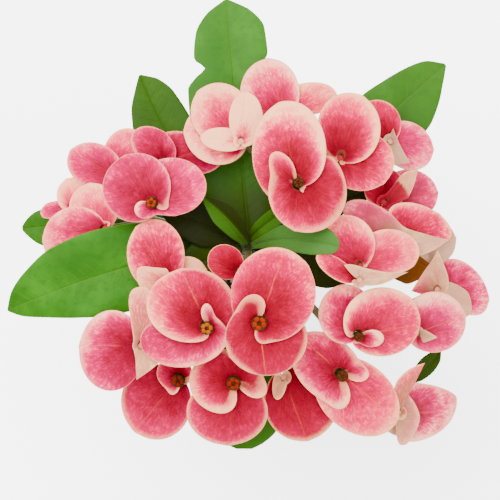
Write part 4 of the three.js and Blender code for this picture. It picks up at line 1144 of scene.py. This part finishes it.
def path_piece(name, lines, sides, material):
    """Tubes along lines of points, each line given with its widths, as one mesh."""
    starts = np.cumsum([0] + [len(line) for line, _ in lines])
    edges = [(k, k + 1) for start, end in zip(starts, starts[1:]) for k in range(start, end - 1)]
    points, widths = (np.concatenate(parts) for parts in zip(*lines))
    made = mesh_from(name, points, marks={"width": widths}, edges=edges)
    return run_tree(made, tube_tree, Sides=sides, Material=material)


def scatter_piece(name, shape, spots, material):
    """Copies of a shape at spots (place, aim, spin, size and perhaps ripeness), as one mesh."""
    places, *values = zip(*spots)
    made = mesh_from(name, places, marks=dict(zip(("aim", "spin", "size", "ripe"), values)))
    return run_tree(made, scatter_tree, Shape=shape, Material=material)


def ring_mesh(name, rings, ends, marks=None):
    """A closed skin over rings of points in millimetres, drawn together at two end points."""
    here = np.arange(rings[..., 0].size).reshape(rings.shape[:2])
    beside = np.roll(here, -1, axis=1)
    faces = np.stack([here[:-1], beside[:-1], beside[1:], here[1:]], -1).reshape(-1, 4).tolist()
    for k in range(rings.shape[1]):
        faces += [(here.size, beside[0, k], here[0, k]), (here.size + 1, here[-1, k], beside[-1, k])]
    return mesh_from(name, np.vstack([rings.reshape(-1, 3), ends]) * MM, faces, marks)


def lathe_mesh(name, profile, sides, relief=None):
    """A closed turned shape from (radius, height) points; the ends lie on the axis."""
    profile = np.array(profile, float)
    turns = np.linspace(0, 2 * math.pi, sides, endpoint=False)
    radius, height = (np.repeat(values[1:-1, None], sides, 1) for values in profile.T)
    if relief:
        radius = radius + relief(turns, height)
    rings = np.stack([radius * np.cos(turns), radius * np.sin(turns), height], -1)
    return ring_mesh(name, rings, [(0, 0, profile[0, 1]), (0, 0, profile[-1, 1])])


def shape_to_copy(name, profile, sides):
    """A turned shape in the profile's own numbers; it isn't shown itself."""
    made = lathe_mesh(name, profile, sides)
    made.data.transform(Matrix.Scale(1 / MM, 4))
    bpy.context.scene.collection.objects.unlink(made)
    return made


def blob(name, subdivisions, squash=(1, 1, 1)):
    """A small rounded shape to copy; it isn't shown itself."""
    mesh = bpy.data.meshes.new(name)
    shell = bmesh.new()
    bmesh.ops.create_icosphere(shell, subdivisions=subdivisions, radius=1)
    bmesh.ops.scale(shell, verts=shell.verts, vec=squash)
    shell.to_mesh(mesh)
    shell.free()
    return bpy.data.objects.new(name, mesh)


print("trees:", tube_tree.name, scatter_tree.name)

# %% [markdown]
# ## The woody stem
#
# An old stem is grey-brown, as thick as a thumb, and knobbly where leaves and spines once grew.
# It rises from the soil, leans to the front and thins to the green growing tip at the heart of
# the crown. Here it is a tube whose radius is shaken by low waves in a spiral, because the old
# leaf scars sit in a spiral. Both ends are closed.

# %% Stem
SOIL_TOP = 83.0
STEM_FOOT = 49.0
STEM_RADIUS = 9.5
STEM_TOP_RADIUS = 7.0
SHOOT_TIP_RADIUS = 2.2
STEM_SIDES = 72
STEM_BENDS = [(-9, 9, -118), (-4, 6, -60), (-1, 3, -10)]

stem_line = spline_through([
    (0, 0, STEM_FOOT + 0.3), (0, 0, SOIL_TOP - 8), (0, 0, SOIL_TOP + 2), *(crown_to_row(STEM_BENDS) / MM),
], 48)
stem_course = unit(np.gradient(stem_line, axis=0))
share = np.linspace(0, 1, len(stem_line))
wave_starts = np.random.default_rng(4).uniform(0, 6.28, 8)


def stem_radius(share):
    taper = STEM_RADIUS + (STEM_TOP_RADIUS - STEM_RADIUS) * share
    knobbly = taper + 0.45 * np.sin(42 * share)
    tip = taper + (SHOOT_TIP_RADIUS - taper) * (share - 0.8) / 0.2
    return np.where(share < 0.22, STEM_RADIUS, np.where(share > 0.8, tip, knobbly))


def bark_relief(s, turns):
    fade_in = np.clip((s - 0.2) * 12, 0, 1) * np.clip((0.99 - s) * 8, 0.1, 1)
    spiral = np.sin(3 * turns + 46 * s + wave_starts[0]) * 0.28
    scars = np.sin(5 * turns - 71 * s + wave_starts[1]) * 0.16
    fine = np.sin(9 * turns + 23 * s + wave_starts[2]) * 0.07
    return fade_in * (spiral + scars + fine - 0.2)


def stem_rings():
    """Rings of points round the stem, carried along it without twisting."""
    side = np.array([1.0, 0, 0])
    turns = np.linspace(0, 2 * math.pi, STEM_SIDES, endpoint=False)
    rings = []
    for spot, course, s, radius in zip(stem_line, stem_course, share, stem_radius(share)):
        side = unit(side - course * (side @ course))
        r = radius + bark_relief(s, turns)
        across = np.cross(course, side)
        rings.append(spot + (np.cos(turns) * r)[:, None] * side + (np.sin(turns) * r)[:, None] * across)
    return np.array(rings)


rings = stem_rings()
rise = np.append(np.repeat(share, STEM_SIDES), [0, 1])
stem_piece = ring_mesh("stem_wood", rings, [rings[0].mean(0), rings[-1].mean(0)], {"rise": rise})

bark, tree, shader = start_material("bark", 0.85, 0.06)
place = place_of(tree)
furrow = noise(stretch(place, (1, 1, 0.35)), 420.0, 6.0, 0.65, 0.6)
patch = noise(place, 70.0, 3.0)
dots = shade_node("ShaderNodeTexVoronoi", {"Vector": stretch(place, (1, 1, 2.2)), "Scale": 330.0})
wood = look_up(patch * 0.5 + furrow * 0.6, [
    (0.30, (0.012, 0.009, 0.006)), (0.52, (0.033, 0.026, 0.019)), (0.72, (0.070, 0.058, 0.042)),
])
wood = tint(fade(dots, 0.22, 0.1) * 0.7, wood, (0.090, 0.068, 0.048))
# The top of the stem turns dark olive: the young green of the growing tip, darkened as painted shade under the crown.
young = tint(patch, (0.009, 0.017, 0.002), (0.018, 0.019, 0.004))
wood = tint(fade(mark_of(tree, "rise"), 0.6, 0.82), wood, young)
paint(shader, wood, dots * 0.4 + furrow, 0.0009, 0.8)
dress(stem_piece, bark, "bark", "stem")
print("stem length:", round(float(np.linalg.norm(np.diff(stem_line, axis=0), axis=1).sum())), "mm")

# %% [markdown]
# ## Thorns
#
# The thorns stand in pairs, one pair beside each old leaf scar, up to 15 mm long, straight,
# dark and woody. The eleven pairs of the CAD model come first, then shorter pairs in between
# them. A single long cone is copied onto points that carry its direction and size.

# %% Thorns
SPINE_ROOT = 3.5
SPINE_LENGTH = 15.0
SPINE_RADIUS = 1.3
SPINE_PAIRS = 11
SHORT_PAIRS = 26
LEAF_SPIRAL = 137.5
PAIR_SPREAD = np.array([-18, 18])
THORN_PROFILE = [
    (0, -0.001), (1.25, 0), (1.08, 0.05), (0.8, 0.22), (0.52, 0.5), (0.26, 0.8), (0.1, 0.95), (0.0, 1.0),
]


def thorn_spots():
    draw = np.random.default_rng(21)
    pairs = []
    for p in range(SPINE_PAIRS):
        lengths = SPINE_LENGTH * (0.9 + 0.15 * np.sin(1.7 * p + PAIR_SPREAD))
        at, lift = 0.27 + 0.49 * p / (SPINE_PAIRS - 1), 0.25 + 0.2 * math.sin(2.1 * p)
        pairs.append((at, p * LEAF_SPIRAL, lift, lengths, 1.0))
    for _ in range(SHORT_PAIRS):
        at, facing, lift, long = (draw.uniform(*span) for span in ((0.26, 0.8), (0, 360), (0.1, 0.5), (5.5, 9.5)))
        pairs.append((at, facing, lift, long + 0.05 * PAIR_SPREAD, 0.72))
    spots = []
    for at, facing, lift, lengths, girth in pairs:
        k = round(at * (len(stem_line) - 1))
        up = stem_course[k]
        side = unit(np.array([1.0, 0, 0]) - up * up[0])
        for spread, length in zip(PAIR_SPREAD, lengths):
            turn = math.radians(facing + spread)
            out = math.cos(turn) * side + math.sin(turn) * np.cross(up, side)
            root = stem_line[k] + out * (stem_radius(at) - SPINE_ROOT)
            width = SPINE_RADIUS * girth
            size = np.array([width, width, SPINE_ROOT + length]) * MM
            spots.append((root * MM, unit(out + lift * up), draw.uniform(0, 6), size))
    return spots


thorn_skin = speckled_skin(
    "thorn_skin", 0.55, 0.35, (700.0, 4.0, 0.6),
    [(0.3, (0.016, 0.012, 0.009)), (0.7, (0.050, 0.036, 0.026))], (0.0003, 0.6))
thorns = scatter_piece("stem_thorns", shape_to_copy("thorn_shape", THORN_PROFILE, 14), thorn_spots(), thorn_skin)
dress(thorns, thorn_skin, "bark")
print("thorns:", 2 * (SPINE_PAIRS + SHORT_PAIRS))

# %% [markdown]
# ## Flower stalks
#
# Each stalk leaves the stem as one olive-green trunk, forks at a small joint, and sends a thin
# twig to the neck of each flower. The table gives the root and the fork of each stalk, then its
# flowers, some with places that the twig passes on the way. These are the CAD model's points.

# %% Stalks
STALK_RADIUS = 1.8
TWIG_RADIUS = 1.05
JOINT_RADIUS = 2.5
STALK_TABLE = """
stalk_left -4.5 7.5 -21.9, -28 23 -13 bloom_left_1 bloom_left_3
stalk_left_low -9.4 5.6 -38.2, -52 16 -32 bloom_left_2 bloom_left_4 bloom_left_5 -78 18 -36
stalk_top 2.9 4.1 -15.2, 17 27 -8 bloom_centre bloom_top_young 8 42 -9, -4.5 54 -4 bloom_top_2 15 48 -8
stalk_right_back 2.3 6.5 -27.8, 44 32 -26 bloom_right_1 bloom_right_2 bloom_right_3
stalk_right 3.3 2.5 -29.1, 38 5 -18 bloom_right_5 bloom_right_4 bloom_right_6 50 -12 -4
stalk_right_low 4 1.7 -37.1, 37 -35 -14 bloom_right_8 bloom_right_9 62 -42 -22 bloom_right_7 60 -35 -31
stalk_bottom_right 0.1 -0.6 -27.3, 26 -40 -26 bloom_bottom_7 bloom_bottom_6 bloom_bottom_8 52 -68 -34
stalk_bottom -0.9 -1 -19.1, -2 -22 -12 bloom_bottom_2 bloom_bottom_5 bloom_bottom_9
stalk_bottom_left -6.2 0.1 -30.2, -26 -28 -22 bloom_bottom_1 bloom_bottom_4 bloom_bottom_3 -42 -40 -22
  bloom_bottom_0 -37 -23 -12
"""


def read_stalks(text):
    stalks = {}
    for word, numbers in read_table(text):
        spots = np.array(numbers).reshape(-1, 3)
        if word.startswith("stalk_"):
            stalk = stalks[word] = {"root": spots[0], "fork": spots[1], "to": {}}
        else:
            stalk["to"][word] = spots
    return stalks


def stalk_lines(stalk):
    root, fork = stalk["root"], stalk["fork"]
    trunk = spline_through([root, (root + fork) / 2 + [0, 0, 2], fork], 20)
    swell = STALK_RADIUS * (1 + 0.22 * np.linspace(0, 1, len(trunk)) ** 6)
    lines = [(crown_to_row(trunk), swell * MM)]
    for name, stops in stalk["to"].items():
        neck = neck_place(BLOOMS[name])
        end = 2.2 if "cup" in BLOOMS[name] else 0.6
        twig = spline_through([fork, *stops, neck - [0, 0, 10], neck - [0, 0, 5], neck + [0, 0, end]], 14)
        along = np.linspace(0, 1, len(twig))
        width = TWIG_RADIUS * (1 + 0.5 * np.exp(-((along / 0.05) ** 2)) + 0.12 * np.sin(along * 9) ** 8)
        lines.append((crown_to_row(twig), width * MM))
    return lines


STALKS = read_stalks(STALK_TABLE)
stalk_skin = speckled_skin(
    "stalk_skin", 0.5, 0.35, (160.0, 4.0, 0.6),
    [(0.30, (0.028, 0.038, 0.001)), (0.55, (0.050, 0.046, 0.001)), (0.80, (0.072, 0.048, 0.004))],
    (0.0003, 0.5), (900.0, 3.0))
for name, stalk in STALKS.items():
    dress(path_piece(name + "_twigs", stalk_lines(stalk), 18, stalk_skin), stalk_skin, "stalk", name)
forks = [(crown_to_row(stalk["fork"]), (0, 0, 1), 0.0, (JOINT_RADIUS * MM,) * 3) for stalk in STALKS.values()]
joints = scatter_piece("stalk_joints", blob("knot_shape", 3, (1, 1, 0.92)), forks, stalk_skin)
dress(joints, stalk_skin, "stalk")
print("stalks:", len(STALKS), "twigs:", sum(len(stalk["to"]) for stalk in STALKS.values()))

# %% [markdown]
# ## The true flowers
#
# At each neck sits a cyathium: a small olive cup with five kidney-shaped nectar glands round
# its lip and a dark tuft of stamens and styles in the middle. The glands are yellow-orange when
# they are fresh and go brown-red with age. The cup and the gland are each made once and copied:
# five glands to a cup. A flower that is still closed, or hidden in the fold of its bracts,
# shows only its throat.

# %% Cyathia
CUP_PROFILE = [
    (0, 0), (1.5, 0), (2.0, 0.4), (2.6, 1.05), (2.8, 2.0), (2.9, 3.6), (3.0, 4.5), (2.95, 4.9),
    (2.75, 4.95), (2.5, 4.4), (1.5, 4.0), (0, 3.9),
]
GLAND_COUNT = 5
GLAND_RING = 1.78
GLAND_HEIGHT = 4.6
TUFT_COUNT = 7
TUFT_HEIGHT = 4.9
THROAT_HEIGHT = 0.55
THROAT_SIZE = np.array([1.75, 1.75, 0.35])

cups, glands, tufts, throats = [], [], [], []
draw = np.random.default_rng(8)
for bloom in BLOOMS.values():
    slope = bloom_slope(bloom)
    aim = unit(LEAN @ np.array([-slope[0], -slope[1], 1.0]))
    foot = crown_to_row(neck_place(bloom))
    if "cup" not in bloom:
        pale = any("pale" in bract for bract in bloom["bracts"]) and not bloom["bracts"][0]["fold_at"]
        throats.append((foot + aim * THROAT_HEIGHT * MM, aim, 0.0, THROAT_SIZE * MM, float(pale)))
        continue
    wide, ripe = bloom["cup"]
    cups.append((foot, aim, 0.0, np.array([wide, wide, 1.0]) * MM))
    side = unit(np.cross(aim, [0, 1.0, 0]))
    across = np.cross(aim, side)
    start = draw.uniform(0, 2 * math.pi)
    for k in range(GLAND_COUNT):
        turn = start + k * 2 * math.pi / GLAND_COUNT + draw.uniform(-0.1, 0.1)
        out = math.cos(turn) * side + math.sin(turn) * across
        spot = foot + (out * GLAND_RING * wide + aim * GLAND_HEIGHT) * MM
        glands.append((spot, aim, turn, np.array([1.2 * wide, 1.14 * wide, 1.2]) * MM, ripe))
    for _ in range(TUFT_COUNT):
        turn, out = draw.uniform(0, 6.28), draw.uniform(0, 0.85)
        spot = foot + ((math.cos(turn) * side + math.sin(turn) * across) * out + aim * TUFT_HEIGHT) * MM
        tufts.append((spot, aim, turn, np.full(3, draw.uniform(0.3, 0.5)) * MM))

cup_skin = speckled_skin(
    "cup_skin", 0.5, 0.05, (500.0, 3.0), [(0.3, (0.007, 0.007, 0.001)), (0.7, (0.020, 0.016, 0.001))])
tuft_skin = speckled_skin(
    "tuft_skin", 0.6, 0.05, (900.0, 2.0), [(0.35, (0.012, 0.001, 0.001)), (0.70, (0.060, 0.010, 0.001))])

gland_skin, tree, shader = start_material("gland_skin", 0.4, 0.03)
aged = mark_of(tree, "ripe") + (noise(place_of(tree), 420.0, 3.0) - 0.5) * 0.4
paint(shader, look_up(aged, [
    (0.00, (0.165, 0.042, 0.000)), (0.35, (0.130, 0.009, 0.000)), (0.62, (0.090, 0.005, 0.000)),
    (0.80, (0.060, 0.005, 0.001)), (1.00, (0.028, 0.008, 0.001)),
]))

throat_skin, tree, shader = start_material("throat_skin", 0.55, 0.03)
flushed = look_up(noise(place_of(tree), 500.0, 3.0), [(0.3, (0.14, 0.001, 0.006)), (0.7, (0.26, 0.010, 0.018))])
paint(shader, tint(mark_of(tree, "ripe"), flushed, (0.42, 0.16, 0.09)))

for name, shape, spots, skin in (
    ("cyathium_cups", shape_to_copy("cup_shape", CUP_PROFILE, 28), cups, cup_skin),
    ("cyathium_glands", blob("gland_shape", 3, (0.86, 1.05, 0.5)), glands, gland_skin),
    ("cyathium_tufts", blob("tuft_shape", 2, (1, 1, 0.8)), tufts, tuft_skin),
    ("closed_throats", blob("throat_shape", 3), throats, throat_skin),
):
    dress(scatter_piece(name, shape, spots, skin), skin, "stalk")
print("cups:", len(cups), "glands:", len(glands), "closed:", len(throats))

# %% [markdown]
# ## The clay pot
#
# A thrown clay pot: a thick rolled band round the rim, a slight taper, faint throwing rings and
# three drain holes in the floor. It is turned from a profile, and the holes are cut afterwards.
# Fired clay is warm and matt, with white salt bloom where damp has dried at the foot and below
# the band.

# %% Pot
POT_PROFILE = [
    (0, 0), (34, 0), (34.6, 0.25), (35, 1), (36.6, 12), (38.4, 26), (40.2, 40), (42, 54), (44.1, 70), (44.25, 71.6),
    (44.6, 72), (48.6, 72.5), (49.1, 72.9), (49.4, 73.8), (49.6, 78), (49.85, 84), (50, 88), (49.8, 89), (49.2, 89.7),
    (48.6, 90), (45.3, 90), (44.5, 89.6), (44, 88.5), (42.4, 70), (40.2, 46), (37.9, 20), (36.5, 7), (36.2, 6.2),
    (35.6, 6), (0, 6),
]
DRAIN_COUNT = 3
DRAIN_RADIUS = 4 * MM
DRAIN_RING = 17 * MM


def finer_profile(profile, step):
    """More points along a profile, so that faint rings can be pressed into it."""
    fine = [profile[0]]
    for start, end in zip(profile, profile[1:]):
        count = max(1, round(math.dist(start, end) / step))
        fine += [tuple(np.add(start, np.subtract(end, start) * k / count)) for k in range(1, count + 1)]
    return fine


def throwing_rings(turns, height):
    return 0.10 * np.sin(height * 2.1 + 0.4 * np.sin(turns)) * np.clip((70 - height) / 6, 0, 1) * (height > 8)


pot_piece = lathe_mesh("pot_clay", finer_profile(POT_PROFILE, 2.2), 160, throwing_rings)
for k in range(DRAIN_COUNT):
    turn = math.radians(360 / DRAIN_COUNT * k + 30)
    spot = (DRAIN_RING * math.cos(turn), DRAIN_RING * math.sin(turn), 3 * MM)
    bpy.ops.mesh.primitive_cylinder_add(vertices=40, radius=DRAIN_RADIUS, depth=20 * MM, location=spot)
    drill = bpy.context.object
    cut = pot_piece.modifiers.new("drain", "BOOLEAN")
    cut.operation, cut.object, cut.solver = "DIFFERENCE", drill, "EXACT"
    bake_modifiers(pot_piece)
    bpy.data.objects.remove(drill)

clay, tree, shader = start_material("fired_clay", 0.85, 0.3)
place = place_of(tree)
height = shade_node("ShaderNodeSeparateXYZ", {0: place}, 2)
cloud = noise(place, 28.0, 5.0, 0.6)
speck = noise(place, 900.0, 3.0, 0.7)
body = look_up(cloud, [
    (0.30, (0.060, 0.015, 0.008)), (0.52, (0.095, 0.023, 0.010)), (0.75, (0.145, 0.038, 0.013)),
])
body = tint(fade(speck, 0.62, 0.75) * 0.4, body, (0.040, 0.010, 0.005))
near_foot = fade(height, 0.030, 0.004)
below_band = fade(height, 0.055, 0.071) * fade(height, 0.074, 0.0725)
salt = fade(noise(stretch(place, (1, 1, 0.5)), 75.0, 6.0, 0.7), 0.46, 0.68) * calc("MAXIMUM", near_foot, below_band)
body = tint(salt * 0.7, body, (0.36, 0.22, 0.12))
paint(shader, body, speck * 0.6 + cloud, 0.0005, 0.5)
dress(pot_piece, clay, "clay", "pot")
print("pot faces:", len(pot_piece.data.polygons))

# %% [markdown]
# ## Soil and grit
#
# The pot is filled with a gritty mix, a little higher round the stem. The mound itself is a
# turned shape with a rough top. Crumbs and pale grit lie on it, sunk in by almost half.

# %% Soil
POT_FLOOR = 6.0
POT_DEPTH = 84.0
POT_MOUTH = 44.0
POT_FLOOR_RADIUS = 35 + 11.5 / 90 * POT_FLOOR - 4
SOIL_GAP = 0.45
STEM_HOLE = 10.1


def soil_edge(h):
    """The soil's radius at a height: the pot's inside, less a hair."""
    return POT_FLOOR_RADIUS + (POT_MOUTH - POT_FLOOR_RADIUS) * (h - POT_FLOOR) / POT_DEPTH - SOIL_GAP


soil_profile = [
    (0, 6.4), (soil_edge(6.4) - 0.5, 6.4), (soil_edge(6.9), 6.9), (soil_edge(50), 50), (soil_edge(78.6), 78.6),
    (soil_edge(79) - 0.4, 79.1), (36, 80), (28, 81.2), (20, 82.2), (13.1, SOIL_TOP), (STEM_HOLE, SOIL_TOP),
    (STEM_HOLE, STEM_FOOT), (0, STEM_FOOT),
]
wave = np.random.default_rng(12).uniform(0, 6.28, 6)


def crumbly(x, y):
    return (
        0.35 * np.sin(0.9 * x + wave[0]) * np.sin(0.8 * y + wave[1])
        + 0.22 * np.sin(2.1 * x + 1.3 * y + wave[2]) + 0.15 * np.sin(3.7 * y - 2.2 * x + wave[3])
    )


soil_piece = lathe_mesh("soil_mix", finer_profile(soil_profile, 1.2), 128)
for vertex in soil_piece.data.vertices:
    x, y, h = np.array(vertex.co) / MM
    if h > 79.4 and 12 < math.hypot(x, y) < 42:
        vertex.co.z = (h + crumbly(x, y)) * MM


def on_soil(draw, count, low, high):
    """Spots over the soil, crumbs of sizes from low to high."""
    spots = []
    for _ in range(count):
        r = math.sqrt(draw.uniform(13.5**2, 41.5**2))
        turn = draw.uniform(0, 2 * math.pi)
        x, y = r * math.cos(turn), r * math.sin(turn)
        size = draw.uniform(low, high)
        h = np.interp(r, [13.1, 28, 41.6], [SOIL_TOP, 81.2, 79.2]) + crumbly(x, y) + size * 0.15
        aim = unit(draw.normal(size=3))
        spin = draw.uniform(0, 6)
        shape = np.array([1, draw.uniform(0.7, 1), draw.uniform(0.6, 0.9)])
        spots.append((np.array([x, y, h]) * MM, aim, spin, shape * size * MM))
    return spots


def stone(name, seed):
    made = blob(name, 2)
    draw = np.random.default_rng(seed)
    for vertex in made.data.vertices:
        vertex.co *= 1 + 0.16 * draw.normal() * 0.6
    return made


soil_skin = speckled_skin(
    "soil_skin", 0.95, 0.15, (260.0, 6.0, 0.75),
    [(0.30, (0.004, 0.003, 0.002)), (0.55, (0.012, 0.008, 0.006)), (0.80, (0.028, 0.020, 0.013))], (0.0015, 1.0))
grit_skin = speckled_skin(
    "grit_skin", 0.8, 0.5, (190.0, 2.0),
    [(0.35, (0.034, 0.025, 0.018)), (0.52, (0.080, 0.066, 0.047)), (0.70, (0.170, 0.145, 0.100))],
    (0.0004, 0.8), (1500.0, 4.0))
dress(soil_piece, soil_skin, "soil", "soil")
draw = np.random.default_rng(30)
for name, count, low, high, seed, skin in (
    ("soil_crumbs", 620, 0.5, 1.5, 3, soil_skin),
    ("soil_grit", 230, 0.6, 1.9, 4, grit_skin),
):
    grains = scatter_piece(name, stone(name + "_shape", seed), on_soil(draw, count, low, high), skin)
    dress(grains, skin, "soil")
    print(name, count)

# %% [markdown]
# ## Floor, light and viewpoint
#
# The plant stands on a plain pale floor. A very large soft light overhead and a bright sky give
# the even light of a product table, so the shadows between the flowers stay readable. The
# floor glows a little, as a light table does, so its paleness doesn't depend on the lamps. The
# camera looks down the crown's own axis from two metres away with a long lens.

# %% Floor, light and camera
CAMERA_AWAY = 2.0
HALF_VIEW = 0.125
SENSOR = 36


def soft_light(name, size, power, place, target):
    lamp = bpy.data.lights.new(name, "AREA")
    lamp.shape, lamp.size, lamp.energy = "DISK", size, power
    made = show(bpy.data.objects.new(name, lamp))
    made.location = place
    made.rotation_euler = (target - Vector(place)).to_track_quat("-Z", "Y").to_euler()


bpy.ops.mesh.primitive_circle_add(vertices=96, radius=9, fill_type="NGON", location=(0, 0, -0.0006))
floor = bpy.context.object
floor.name = "floor"
pale_floor = start_material(
    "pale_floor", 0.9, 0.1, Base_Color=(0.9, 0.9, 0.9, 1), Emission_Color=(1, 1, 1, 1), Emission_Strength=1.5)
wear_material(floor, pale_floor[0])

world = bpy.data.worlds.new("studio_sky")
bpy.context.scene.world = world
world.use_nodes = True
sky = world.node_tree.nodes["Background"]
sky.inputs["Color"].default_value = (1, 1, 1, 1)
sky.inputs["Strength"].default_value = 2.6

crown_spot = Vector(crown_to_row([0, 0, 0]))
soft_light("overhead_softbox", 2.4, 200, (-0.7, 0.5, 2.1), crown_spot)
soft_light("side_softbox", 1.2, 22, (1.0, -0.6, 1.0), crown_spot)

eye = Vector(crown_to_row([0, 0, CAMERA_AWAY / MM]))
camera = show(bpy.data.objects.new("camera", bpy.data.cameras.new("camera")))
camera.data.sensor_width = SENSOR
camera.data.lens = SENSOR / (2 * math.tan(math.atan(HALF_VIEW / CAMERA_AWAY)))
camera.matrix_world = Matrix.Translation(eye) @ Matrix(LEAN.tolist()).to_4x4()
bpy.context.scene.camera = camera
print("camera at", [round(v, 3) for v in camera.location])
